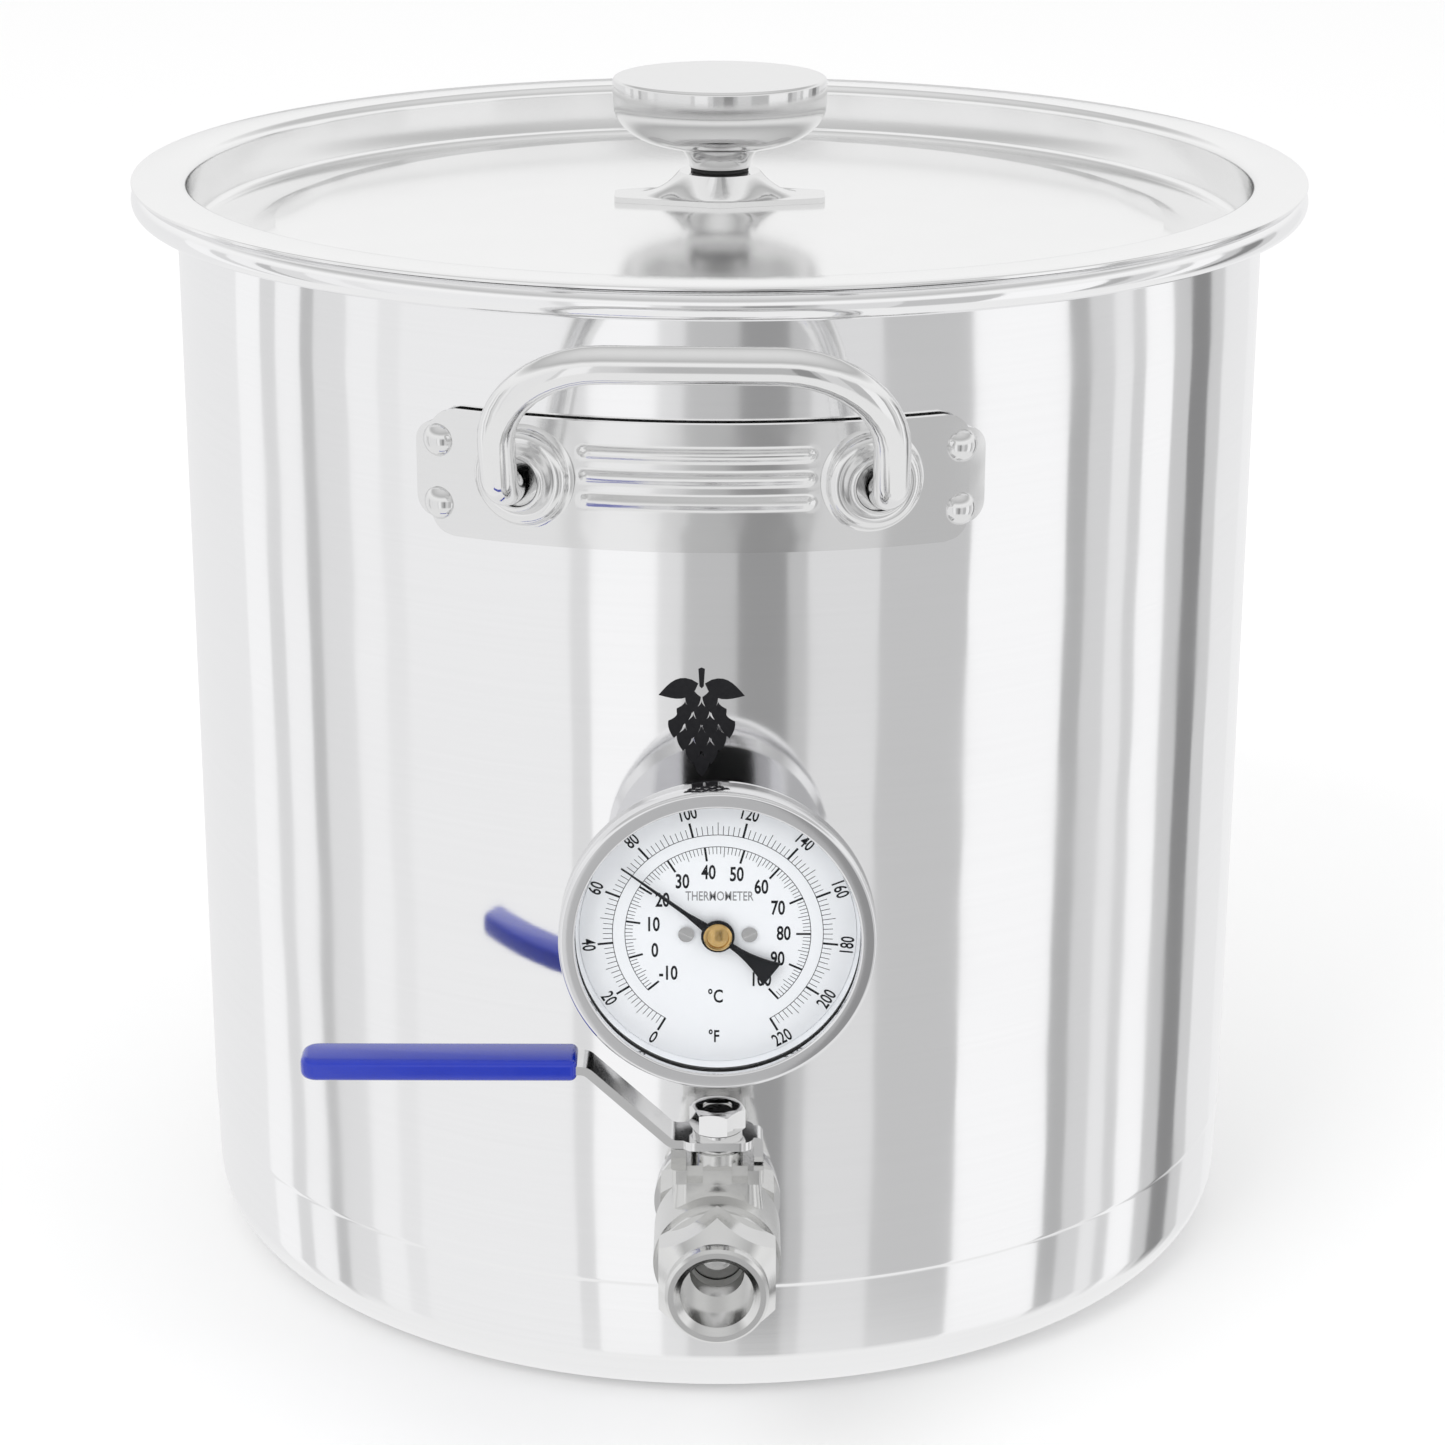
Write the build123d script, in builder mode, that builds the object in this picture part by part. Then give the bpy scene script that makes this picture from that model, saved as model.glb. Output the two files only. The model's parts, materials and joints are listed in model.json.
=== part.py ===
"""Brew kettle: pot, lid, two fixed rod handles, dial thermometer and drain ball valve.

Millimetres, +Z up. The origin is the centre of the pot's flat base. The front of the
kettle, with the valve and the thermometer, faces -Y, and +X is to the right of it.
"""
from build123d import *
from math import asin, cos, radians, sin, sqrt
import os

os.makedirs("parts", exist_ok=True)

# ---------------------------------------------------------------- driving dimensions
# Pot
pot_diameter = 330.0
pot_height = 333.8
pot_wall = 1.0
pot_corner_radius = 16.0
rim_roll_height = 8.6
rim_roll_reach = 13.5
rim_roll_gap = 0.4

# Lid
lid_thickness = 0.9
lid_rest_gap = 0.2
lid_plug_clearance = 1.6
lid_bend_radius = 3.0
lid_plug_depth = 17.4
lid_trough_width = 18.0
lid_crease_width = 8.0
lid_crease_rise = 4.0
lid_dome_rise = 3.5

# Knob
knob_diameter = 65.4
knob_height = 27.5
knob_edge_height = 8.0
knob_edge_chamfer = 1.2
knob_neck_height = 6.7
knob_neck_radius = 12.9
knob_waist_radius = 9.4
knob_washer_thickness = 1.1
foot_length = 64.5
foot_width = 33.0
foot_end_width = 13.0
foot_corner_radius = 3.0
foot_ledge = 3.2
foot_plate_thickness = 2.2
foot_height = 9.4
foot_waist_height = 3.0
foot_top_radius = 12.4
knob_screw_diameter = 6.0
knob_screw_depth = 14.0
knob_screw_head = 3.0
driver_slot_width = 1.4

# Handles
handle_azimuth = -2.0
handle_drop = 54.3
handle_half_angle = 16.2
handle_rod_diameter = 10.0
handle_span = 103.0
handle_bar_rise = 40.5
handle_bar_reach = 38.0
handle_elbow_reach = 21.0
handle_corner_radius = 29.0
handle_elbow_radius = 12.0
bracket_height = 35.4
bracket_end_margin = 3.9
bracket_thickness = 1.8
bracket_corner_radius = 7.0
bracket_drop = 1.4
bead_pitch = 6.6
bead_radius = 1.6
bead_half_angle = 11.0
bead_row_offset = 2.6
boss_radius = 13.8
boss_height = 8.0
boss_mouth_clearance = 1.6
strap_tab = 5.0
strap_height = 27.0
strap_thickness = 1.5
strap_corner_radius = 6.0
rivet_spread = 8.8
rivet_spacing = 17.6
rivet_shank_diameter = 5.0
rivet_head_diameter = 9.2
rivet_head_height = 2.8
rivet_tail_diameter = 8.4
rivet_tail_height = 1.4

# Dial thermometer
dial_height = 159.3
dial_reach = 33.0
bezel_diameter = 86.5
bezel_depth = 9.0
bezel_thickness = 1.2
bezel_face_width = 4.55
bezel_edge_radius = 0.8
lens_lip = 0.6
case_depth = 16.0
case_wall = 1.2
case_step = 3.6
case_back_slope = 2.6
dial_depth = 7.0
dial_thickness = 0.8
dial_ring_slope = 0.9
lens_thickness = 2.0
lens_seal_thickness = 1.0
needle_edge_gap = 5.2
needle_tail_length = 18.5
needle_tail_width = 8.0
needle_root_width = 2.6
needle_tip_width = 0.3
needle_eye_radius = 2.6
needle_thickness = 0.6
needle_gap = 1.6
needle_rest_clock = 307.0
spindle_diameter = 1.6
needle_hub_diameter = 7.8
needle_hub_height = 1.0
dial_screw_offset = 8.6
dial_screw_diameter = 4.4
dial_screw_height = 0.7
dial_screw_slot = 0.7
dial_screw_turn = 25.0
probe_hex = 24.0
probe_hex_length = 11.0
probe_thread_diameter = 20.9
probe_diameter = 6.4
probe_length = 92.0
probe_wall = 0.7
probe_neck_wall = 1.2
probe_thread_inside = 12.0
spigot_wall = 4.0
spigot_proud = 0.6
coil_wire_radius = 0.5
coil_wall_gap = 0.3
coil_pitch = 2.4
coil_turns = 9
coil_inset = 4.0

# Drain valve
valve_height = 68.2
valve_stem_reach = 29.0
valve_outlet_reach = 63.0
valve_barrel_diameter = 35.3
valve_hex = 32.0
valve_inlet_hex_length = 13.0
valve_shoulder_length = 4.0
valve_shoulder_drop = 3.5
valve_collar_length = 3.5
valve_collar_drop = 1.6
valve_lip_diameter = 28.3
valve_lip_length = 4.0
valve_nose_cone = 7.0
valve_lip_chamfer = 0.8
valve_bore_diameter = 20.0
valve_mouth_diameter = 23.6
valve_thread_depth = 15.0
valve_flow_diameter = 15.0
ball_diameter = 23.0
seat_clearance = 0.3
seat_backing = 1.5
seat_thickness = 2.8
nipple_engagement = 10.0
nipple_inside = 14.0
nipple_chamfer = 0.8
stem_diameter = 8.0
stem_flats = 5.6
stem_collar = 1.5
stem_collar_thickness = 2.2
stem_tang_width = 5.0
stem_tang_length = 9.0
ball_slot_depth = 2.6
packing_wall = 2.4
packing_height = 3.2
packing_cover = 1.0
gland_ring_thickness = 1.8
valve_pad_height = 93.8
valve_pad_thickness = 4.2
valve_pad_length = 25.6
valve_pad_width = 17.0
valve_pad_corner = 1.5
valve_tower_width = 14.0
valve_tower_height = 14.0
valve_tower_taper = 6.0
gland_land_radius = 7.3
gland_land_height = 3.6
pad_slot_depth = 3.2
pad_slot_width = 4.4
pad_slot_offset = 6.2
stop_lug_length = 4.2
stop_lug_width = 9.0
stop_lug_gap = 0.9
lever_height = 99.2
lever_thickness = 2.5
lever_width = 12.0
lever_bend_radius = 4.0
lever_hub_length = 20.0
lever_hub_width = 15.5
lever_hub_corner = 4.0
lever_tab_reach = 12.6
lever_tab_width = 8.0
lever_tab_gap = 0.6
lever_bend_start = 12.5
lever_bend_end = 36.0
lever_rise = 22.0
lever_length = 111.2
grip_length = 75.8
grip_wall = 1.0
grip_thickness = 6.2
grip_tip = 3.0
grip_tip_radius = 1.8
lever_washer_radius = 6.9
lever_washer_thickness = 1.2
lever_nut_width = 13.6
lever_nut_height = 6.6
lever_nut_turn = -10.0
lever_nut_chamfer = 1.3
lever_nut_sink = 0.6

# Bulkhead pieces, shared by the valve and the thermometer
nipple_diameter = 21.2
bulkhead_washer_diameter = 36.0
bulkhead_washer_thickness = 2.0
bulkhead_seal_diameter = 31.0
bulkhead_seal_thickness = 2.0
locknut_width = 30.0
locknut_thickness = 6.0

# Fits
running_clearance = 0.05
shank_clearance = 0.1
moving_gap = 0.4
eps = 0.01

# Hexagons on the valve and the thermometer stand with a corner at the top
corner_up = 30.0

# ---------------------------------------------------------------- derived sizes
pot_radius = pot_diameter / 2
inner_radius = pot_radius - pot_wall
rim_radius = pot_radius + rim_roll_reach
roll_radius = rim_roll_height / 2
handle_height = pot_height - handle_drop
rivet_half_angle = handle_half_angle + rivet_spread
front = (0, -1, 0)


# ---------------------------------------------------------------- placing helpers
def side_plane(azimuth, height, reach=0.0):
    """A plane facing straight out of the pot's side; azimuth 0 is the front."""
    turn = radians(azimuth)
    outward = (sin(turn), -cos(turn), 0)
    sideways = (cos(turn), sin(turn), 0)
    return Plane(
        origin=(outward[0] * reach, outward[1] * reach, height),
        x_dir=sideways,
        z_dir=outward,
    )


def front_section(height):
    """Section through a piece on the front: local x points outward, local y points up."""
    return Plane(origin=(0, 0, height), x_dir=front, z_dir=(-1, 0, 0))


def radial_section(azimuth, height):
    """The same section turned round the pot to an azimuth."""
    turn = radians(azimuth)
    return Plane(
        origin=(0, 0, height),
        x_dir=(sin(turn), -cos(turn), 0),
        z_dir=(-cos(turn), -sin(turn), 0),
    )


def add_ring(section, start, stop, outer, inner=0.0, mode=Mode.ADD):
    """A tube or disc turned about a section's local x axis, from start to stop along it."""
    with BuildSketch(section) as band:
        with Locations(((start + stop) / 2, (outer + inner) / 2)):
            Rectangle(stop - start, outer - inner)
    revolve(band.sketch, axis=Axis(section.origin, section.x_dir), mode=mode)


def add_turned(section, points, mode=Mode.ADD):
    """A piece turned about a section's local x axis from a straight-sided outline."""
    with BuildSketch(section) as outline:
        with BuildLine():
            Polyline(*points, close=True)
        make_face()
    revolve(outline.sketch, axis=Axis(section.origin, section.x_dir), mode=mode)


def add_hex(plane, across_flats, length, turned=0.0, mode=Mode.ADD):
    """A hexagonal prism standing on a plane."""
    with BuildSketch(plane) as hexagon:
        RegularPolygon(across_flats / 2, 6, major_radius=False, rotation=turned)
    extrude(hexagon.sketch, amount=length, mode=mode)


def save(piece, label):
    """Name a finished piece and write it."""
    piece.part.label = label
    export_step(piece.part, f"parts/{label}.step")


# ================================================================ pot
wall_holes = []
for handle_turn in (handle_azimuth, handle_azimuth + 180):
    for rivet_side in (-1, 1):
        for rivet_row in (-1, 1):
            wall_holes.append((
                handle_turn + rivet_side * rivet_half_angle,
                handle_height - bracket_drop + rivet_row * rivet_spacing / 2,
                rivet_shank_diameter / 2 + shank_clearance,
            ))
wall_holes.append((0, valve_height, nipple_diameter / 2 + shank_clearance))
wall_holes.append((0, dial_height, probe_thread_diameter / 2 + shank_clearance))

with BuildPart() as pot_shell:
    with BuildSketch(Plane.XZ):
        with BuildLine():
            # outside: base, corner and wall up into the roll
            Line((0, 0), (pot_radius - pot_corner_radius, 0))
            JernArc((pot_radius - pot_corner_radius, 0), (1, 0), pot_corner_radius, 90)
            Line((pot_radius, pot_corner_radius), (pot_radius, pot_height - roll_radius))
            # inside of the roll
            JernArc((pot_radius, pot_height - roll_radius), (0, 1), roll_radius - pot_wall, -90)
            Line(
                (pot_radius + roll_radius - pot_wall, pot_height - pot_wall),
                (rim_radius - roll_radius, pot_height - pot_wall),
            )
            JernArc(
                (rim_radius - roll_radius, pot_height - pot_wall), (1, 0), roll_radius - pot_wall, -180
            )
            Polyline(
                (rim_radius - roll_radius, pot_height - rim_roll_height + pot_wall),
                (pot_radius + rim_roll_gap, pot_height - rim_roll_height + pot_wall),
                (pot_radius + rim_roll_gap, pot_height - rim_roll_height),
                (rim_radius - roll_radius, pot_height - rim_roll_height),
            )
            # outside of the roll, over the top and down the inner wall
            JernArc((rim_radius - roll_radius, pot_height - rim_roll_height), (1, 0), roll_radius, 180)
            Line((rim_radius - roll_radius, pot_height), (inner_radius + roll_radius, pot_height))
            JernArc((inner_radius + roll_radius, pot_height), (-1, 0), roll_radius, 90)
            Line((inner_radius, pot_height - roll_radius), (inner_radius, pot_corner_radius))
            JernArc(
                (inner_radius, pot_corner_radius), (0, -1), pot_corner_radius - pot_wall, -90
            )
            Line((pot_radius - pot_corner_radius, pot_wall), (0, pot_wall))
            Line((0, pot_wall), (0, 0))
        make_face()
    revolve(axis=Axis.Z)
    for hole_azimuth, hole_height, hole_radius in wall_holes:
        add_ring(
            radial_section(hole_azimuth, hole_height),
            inner_radius - 3,
            pot_radius + 1,
            hole_radius,
            mode=Mode.SUBTRACT,
        )

save(pot_shell, "pot_shell")


# ================================================================ handles
strap_outer = pot_radius + strap_thickness
bracket_outer = strap_outer + bracket_thickness
bracket_middle = handle_height - bracket_drop
bracket_width = 2 * (bracket_outer * sin(radians(rivet_half_angle)) + bracket_end_margin)
strap_width = bracket_width + 2 * strap_tab
rod_radius = handle_rod_diameter / 2


def curved_plate(azimuth, width, height, corner, inner, outer):
    """A plate bent to the pot's side, cut to a round-cornered outline."""
    with BuildSketch(side_plane(azimuth, bracket_middle, inner * cos(radians(30)) - 6)) as outline:
        RectangleRounded(width, height, corner)
    extrude(outline.sketch, amount=outer)
    with BuildSketch(Plane.XY.offset(bracket_middle - height)) as shell_ring:
        Circle(outer)
        Circle(inner, mode=Mode.SUBTRACT)
    extrude(shell_ring.sketch, amount=2 * height, mode=Mode.INTERSECT)


def make_handle(turn, end):
    """One handle: bracket, backing strap, bent rod and four rivets, named for its end."""
    with BuildPart() as strap:
        curved_plate(turn, strap_width, strap_height, strap_corner_radius, pot_radius, strap_outer)
        for side in (-1, 1):
            for row in (-1, 1):
                add_ring(
                    radial_section(turn + side * rivet_half_angle, bracket_middle + row * rivet_spacing / 2),
                    pot_radius - 2,
                    strap_outer + 2,
                    rivet_shank_diameter / 2 + shank_clearance,
                    mode=Mode.SUBTRACT,
                )
    save(strap, f"handle_strap_{end}")

    with BuildPart() as bracket:
        curved_plate(turn, bracket_width, bracket_height, bracket_corner_radius, strap_outer, bracket_outer)
        # three pressed beads across the middle
        for row in (-1, 0, 1):
            bead_height = bracket_middle + bead_row_offset + row * bead_pitch
            with BuildSketch(radial_section(turn - bead_half_angle, bead_height)) as bead:
                with Locations((bracket_outer, 0)):
                    Circle(bead_radius)
                with Locations((bracket_outer - 2 * bead_radius, 0)):
                    Rectangle(2 * bead_radius + 1, 3 * bead_radius, mode=Mode.SUBTRACT)
            revolve(bead.sketch, axis=Axis.Z, revolution_arc=2 * bead_half_angle)
        # the two domed bosses that take the rod ends
        for side in (-1, 1):
            boss_section = radial_section(turn + side * handle_half_angle, handle_height)
            base = bracket_outer - bracket_thickness / 2
            add_turned(
                boss_section,
                (
                    (base, 0),
                    (base, boss_radius),
                    (bracket_outer + 1.2, boss_radius - 0.6),
                    (bracket_outer + 3.6, boss_radius - 2.4),
                    (bracket_outer + 5.4, boss_radius - 4.4),
                    (bracket_outer + boss_height - 1.6, boss_radius - 5.6),
                    (bracket_outer + boss_height, boss_radius - 6.0),
                    (bracket_outer + boss_height, 0),
                ),
            )
        for side in (-1, 1):
            boss_section = radial_section(turn + side * handle_half_angle, handle_height)
            add_ring(
                boss_section,
                strap_outer - 4,
                bracket_outer + boss_height + 1,
                rod_radius + boss_mouth_clearance,
                mode=Mode.SUBTRACT,
            )
            for row in (-1, 1):
                add_ring(
                    radial_section(turn + side * rivet_half_angle, bracket_middle + row * rivet_spacing / 2),
                    strap_outer - 2,
                    bracket_outer + 2,
                    rivet_shank_diameter / 2 + shank_clearance,
                    mode=Mode.SUBTRACT,
                )
    save(bracket, f"handle_bracket_{end}")

    # the rod: out of one boss, up and outward, along the bar and down into the other
    facing = side_plane(turn, handle_height)
    boss_turn = radians(handle_half_angle)
    elbow = pot_radius + handle_elbow_reach
    bar = pot_radius + handle_bar_reach
    rise = handle_bar_rise
    rod_points = []
    for side in (-1, 1):
        limb = [
            (side * strap_outer * sin(boss_turn), 0, strap_outer * cos(boss_turn)),
            (side * elbow * sin(boss_turn), 0, elbow * cos(boss_turn)),
            (side * handle_span / 2, rise, bar),
        ]
        rod_points += limb if side < 0 else limb[::-1]
    with BuildPart() as rod:
        with BuildLine(facing) as route:
            FilletPolyline(
                *rod_points,
                radius=(
                    handle_elbow_radius, handle_corner_radius, handle_corner_radius, handle_elbow_radius
                ),
            )
        with BuildSketch(Plane(origin=route.line @ 0, z_dir=route.line % 0)):
            Circle(rod_radius)
        sweep(path=route.line)
        # the ends are cut to lie on the strap's curved face
        with BuildSketch(Plane.XY.offset(handle_height - 2 * rod_radius)) as strap_face:
            Circle(strap_outer)
        extrude(strap_face.sketch, amount=4 * rod_radius, mode=Mode.SUBTRACT)
    save(rod, f"handle_rod_{end}")

    with BuildPart() as rivets:
        for side in (-1, 1):
            for row in (-1, 1):
                rivet_section = radial_section(
                    turn + side * rivet_half_angle, bracket_middle + row * rivet_spacing / 2
                )
                head_face = bracket_outer
                tail_face = sqrt(inner_radius**2 - (rivet_tail_diameter / 2) ** 2)
                add_ring(rivet_section, tail_face - rivet_tail_height, tail_face, rivet_tail_diameter / 2)
                add_ring(rivet_section, tail_face - eps, head_face + eps, rivet_shank_diameter / 2)
                head_radius = rivet_head_diameter / 2
                dome_radius = (head_radius**2 + rivet_head_height**2) / (2 * rivet_head_height)
                dome_centre = head_face + rivet_head_height - dome_radius
                dome_turn = asin(head_radius / dome_radius) / 2
                with BuildSketch(rivet_section) as dome:
                    with BuildLine():
                        ThreePointArc(
                            (head_face, head_radius),
                            (dome_centre + dome_radius * cos(dome_turn), dome_radius * sin(dome_turn)),
                            (head_face + rivet_head_height, 0),
                        )
                        Polyline(
                            (head_face + rivet_head_height, 0),
                            (head_face, 0),
                            (head_face, head_radius),
                        )
                    make_face()
                revolve(dome.sketch, axis=Axis(rivet_section.origin, rivet_section.x_dir))
    save(rivets, f"handle_rivets_{end}")


make_handle(handle_azimuth, "front")
make_handle(handle_azimuth + 180, "rear")


# ================================================================ lid
flange_under = pot_height + lid_rest_gap
flange_top = flange_under + lid_thickness
lid_edge_radius = rim_radius - 0.2
plug_radius = inner_radius - lid_plug_clearance
trough_height = flange_top - lid_plug_depth
crease_foot_radius = plug_radius - lid_thickness - lid_trough_width
crease_radius = crease_foot_radius - lid_crease_width
crease_height = trough_height + lid_crease_rise
dome_height = crease_height + lid_dome_rise

with BuildPart() as lid_shell:
    with BuildSketch(Plane.XZ):
        with BuildLine() as lid_top:
            bend_top = Line(
                (lid_edge_radius, flange_top),
                (plug_radius - lid_thickness + lid_bend_radius, flange_top),
            )
            JernArc(bend_top @ 1, (-1, 0), lid_bend_radius, 90)
            plug_line = Line(
                (plug_radius - lid_thickness, flange_top - lid_bend_radius),
                (plug_radius - lid_thickness, trough_height + lid_bend_radius),
            )
            trough_bend = JernArc(plug_line @ 1, (0, -1), lid_bend_radius, -90)
            trough = Line(trough_bend @ 1, (crease_foot_radius, trough_height))
            slope = Line(trough @ 1, (crease_radius, crease_height))
            centre_arc = ThreePointArc(
                slope @ 1,
                (crease_radius / 2, crease_height + lid_dome_rise * 0.75),
                (0, dome_height),
            )
            drop = Line(centre_arc @ 1, (0, dome_height - lid_thickness))
            under_arc = ThreePointArc(
                drop @ 1,
                (crease_radius / 2, crease_height + lid_dome_rise * 0.75 - lid_thickness),
                (crease_radius, crease_height - lid_thickness),
            )
            under_slope = Line(under_arc @ 1, (crease_foot_radius, trough_height - lid_thickness))
            under_trough = Line(
                under_slope @ 1,
                (plug_radius - lid_thickness - lid_bend_radius, trough_height - lid_thickness),
            )
            JernArc(under_trough @ 1, (1, 0), lid_bend_radius + lid_thickness, 90)
            outer_plug = Line(
                (plug_radius, trough_height + lid_bend_radius), (plug_radius, flange_top - lid_bend_radius)
            )
            inner_bend = JernArc(outer_plug @ 1, (0, 1), lid_bend_radius - lid_thickness, -90)
            under_flange = Line(inner_bend @ 1, (lid_edge_radius, flange_under))
            Line(under_flange @ 1, (lid_edge_radius, flange_top))
        make_face()
    revolve(axis=Axis.Z)
    with Locations((0, 0, dome_height)):
        Hole(knob_screw_diameter / 2 + shank_clearance, depth=2 * lid_thickness)

save(lid_shell, "lid_shell")

# the cast foot: a long six-sided plate with a flared neck that carries the knob
foot_sink = 0.6
foot_base = dome_height - foot_sink
foot_top = foot_base + foot_height
foot_plate_top = foot_base + foot_plate_thickness
dome_ball_radius = (crease_radius**2 + lid_dome_rise**2) / (2 * lid_dome_rise)
flare_length = foot_length / 2 - foot_ledge
flare_width = foot_width / 2 - foot_ledge
waist_length = foot_top_radius + (flare_length - foot_top_radius) / 4
waist_width = (foot_top_radius + flare_width) / 2

with BuildPart() as knob_foot:
    with BuildSketch(Plane.XY.offset(foot_base - foot_sink)) as plate:
        with BuildLine():
            Polyline(
                (-foot_length / 2, -foot_end_width / 2),
                (0, -foot_width / 2),
                (foot_length / 2, -foot_end_width / 2),
                (foot_length / 2, foot_end_width / 2),
                (0, foot_width / 2),
                (-foot_length / 2, foot_end_width / 2),
                close=True,
            )
        make_face()
        fillet(plate.vertices(), radius=foot_corner_radius)
    extrude(amount=foot_plate_thickness + foot_sink)
    # the flare: an oval on the plate, drawn in to the round seat of the washer
    with BuildSketch(Plane.XY.offset(foot_plate_top - eps)) as flare_root:
        Ellipse(flare_length, flare_width)
    with BuildSketch(Plane.XY.offset(foot_plate_top + foot_waist_height)) as flare_waist:
        Ellipse(waist_length, waist_width)
    with BuildSketch(Plane.XY.offset(foot_top)) as flare_top:
        Ellipse(foot_top_radius + eps, foot_top_radius)
    loft([flare_root.sketch, flare_waist.sketch, flare_top.sketch])
    # hollowed to sit on the dome, and drilled for the screw
    with Locations((0, 0, dome_height - dome_ball_radius)):
        Sphere(dome_ball_radius + eps, mode=Mode.SUBTRACT)
    with Locations((0, 0, foot_top)):
        Hole(knob_screw_diameter / 2 + shank_clearance, depth=2 * foot_height)

save(knob_foot, "knob_foot")

with BuildPart() as knob_washer:
    with BuildSketch(Plane.XY.offset(foot_top)):
        Circle(knob_waist_radius - knob_washer_thickness / 2)
        Circle(knob_screw_diameter / 2 + shank_clearance, mode=Mode.SUBTRACT)
    extrude(amount=knob_washer_thickness)

save(knob_washer, "knob_washer")

knob_base = foot_top + knob_washer_thickness
knob_top = knob_base + knob_height
knob_radius = knob_diameter / 2
neck_top = knob_base + knob_neck_height
edge_base = knob_top - knob_edge_height

with BuildPart() as knob:
    with BuildSketch(Plane.XZ) as knob_outline:
        with BuildLine():
            Line((0, knob_base), (knob_waist_radius, knob_base))
            # the neck opens upwards, hollow like a trumpet, to the rounded bowl under the disc
            ThreePointArc(
                (knob_waist_radius, knob_base),
                (
                    knob_waist_radius + 0.35 * (knob_neck_radius - knob_waist_radius),
                    knob_base + 0.55 * knob_neck_height,
                ),
                (knob_neck_radius, neck_top),
            )
            EllipticalCenterArc(
                (knob_neck_radius, edge_base),
                knob_radius - knob_neck_radius,
                edge_base - neck_top,
                start_angle=-90,
                arc_size=90,
            )
            Polyline(
                (knob_radius, edge_base),
                (knob_radius, knob_top - knob_edge_chamfer),
                (knob_radius - knob_edge_chamfer, knob_top),
                (0, knob_top),
                (0, knob_base),
            )
        make_face()
    revolve(axis=Axis.Z)
    with BuildSketch(Plane.XY.offset(knob_base)) as knob_tap:
        Circle(knob_screw_diameter / 2 + shank_clearance)
    extrude(knob_tap.sketch, amount=knob_screw_depth + 2 * knob_washer_thickness, mode=Mode.SUBTRACT)

save(knob, "knob")

with BuildPart() as knob_screw:
    screw_head_top = dome_height - lid_thickness - 2 * eps
    with BuildSketch(Plane.XY.offset(screw_head_top - knob_screw_head)):
        Circle(knob_screw_diameter)
    extrude(amount=knob_screw_head)
    with BuildSketch(Plane.XY.offset(screw_head_top - eps)):
        Circle(knob_screw_diameter / 2)
    extrude(amount=knob_base + knob_screw_depth - screw_head_top)
    with BuildSketch(Plane.XY.offset(screw_head_top - knob_screw_head)) as driver_slot:
        Rectangle(3 * knob_screw_diameter, driver_slot_width)
    extrude(driver_slot.sketch, amount=driver_slot_width, mode=Mode.SUBTRACT)

save(knob_screw, "knob_screw")


# ================================================================ bulkhead pieces
def wall_seal(height, thread_radius, outer_radius, stop, label):
    """A soft seal, flat outside and shaped to the pot's curved wall inside."""
    with BuildPart() as seal:
        add_ring(front_section(height), pot_radius - 4, stop, outer_radius, thread_radius + shank_clearance)
        with BuildSketch(Plane.XY.offset(height - 2 * outer_radius)) as wall_face:
            Circle(pot_radius)
        extrude(wall_face.sketch, amount=4 * outer_radius, mode=Mode.SUBTRACT)
    save(seal, label)


def plain_washer(height, start, thread_radius, outer_radius, label):
    """A flat washer over a thread."""
    with BuildPart() as washer:
        add_ring(
            front_section(height),
            start,
            start + bulkhead_washer_thickness,
            outer_radius,
            thread_radius + shank_clearance,
        )
    save(washer, label)


def inner_locknut(height, thread_radius, label):
    """The nut inside the pot, its face against the wall's curve."""
    corner = locknut_width / 2 / cos(radians(30))
    face = sqrt(inner_radius**2 - corner**2)
    with BuildPart() as nut:
        add_hex(side_plane(0, height, face - locknut_thickness), locknut_width, locknut_thickness, 90)
        add_ring(
            front_section(height),
            face - locknut_thickness - 1,
            face + 1,
            thread_radius + shank_clearance,
            mode=Mode.SUBTRACT,
        )
    save(nut, label)


seal_stop = pot_radius + bulkhead_seal_thickness
nipple_radius = nipple_diameter / 2
probe_thread_radius = probe_thread_diameter / 2
seal_radius = bulkhead_seal_diameter / 2
washer_radius = bulkhead_washer_diameter / 2

wall_seal(valve_height, nipple_radius, seal_radius, seal_stop, "drain_seal")
plain_washer(valve_height, seal_stop, nipple_radius, washer_radius, "drain_washer")
inner_locknut(valve_height, nipple_radius, "drain_locknut")
wall_seal(dial_height, probe_thread_radius, seal_radius, seal_stop, "probe_seal")
plain_washer(dial_height, seal_stop, probe_thread_radius, washer_radius, "probe_washer")
inner_locknut(dial_height, probe_thread_radius, "probe_locknut")


# ================================================================ drain valve
valve_section = front_section(valve_height)
stem_reach = pot_radius + valve_stem_reach
outlet = pot_radius + valve_outlet_reach
inlet = seal_stop + bulkhead_washer_thickness
ball_radius = ball_diameter / 2
barrel_radius = valve_barrel_diameter / 2
hex_corner = valve_hex / 2 / cos(radians(30))
inlet_hex_stop = inlet + valve_inlet_hex_length
seat_pocket_radius = ball_radius + moving_gap + 1.0
seat_reach = ball_radius + seat_backing
seam_reach = stem_reach + seat_reach
cap_collar_stop = seam_reach + valve_collar_length
thread_stop = outlet - valve_thread_depth
flow_radius = valve_flow_diameter / 2
nipple_stop = inlet + nipple_engagement

with BuildPart() as drain_nipple:
    nipple_start = inner_radius - nipple_inside
    add_ring(valve_section, nipple_start, nipple_stop, nipple_radius, flow_radius)
    chamfer(drain_nipple.edges().filter_by(GeomType.CIRCLE).group_by(Axis.Y)[-1], length=nipple_chamfer)

save(drain_nipple, "drain_nipple")

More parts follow.
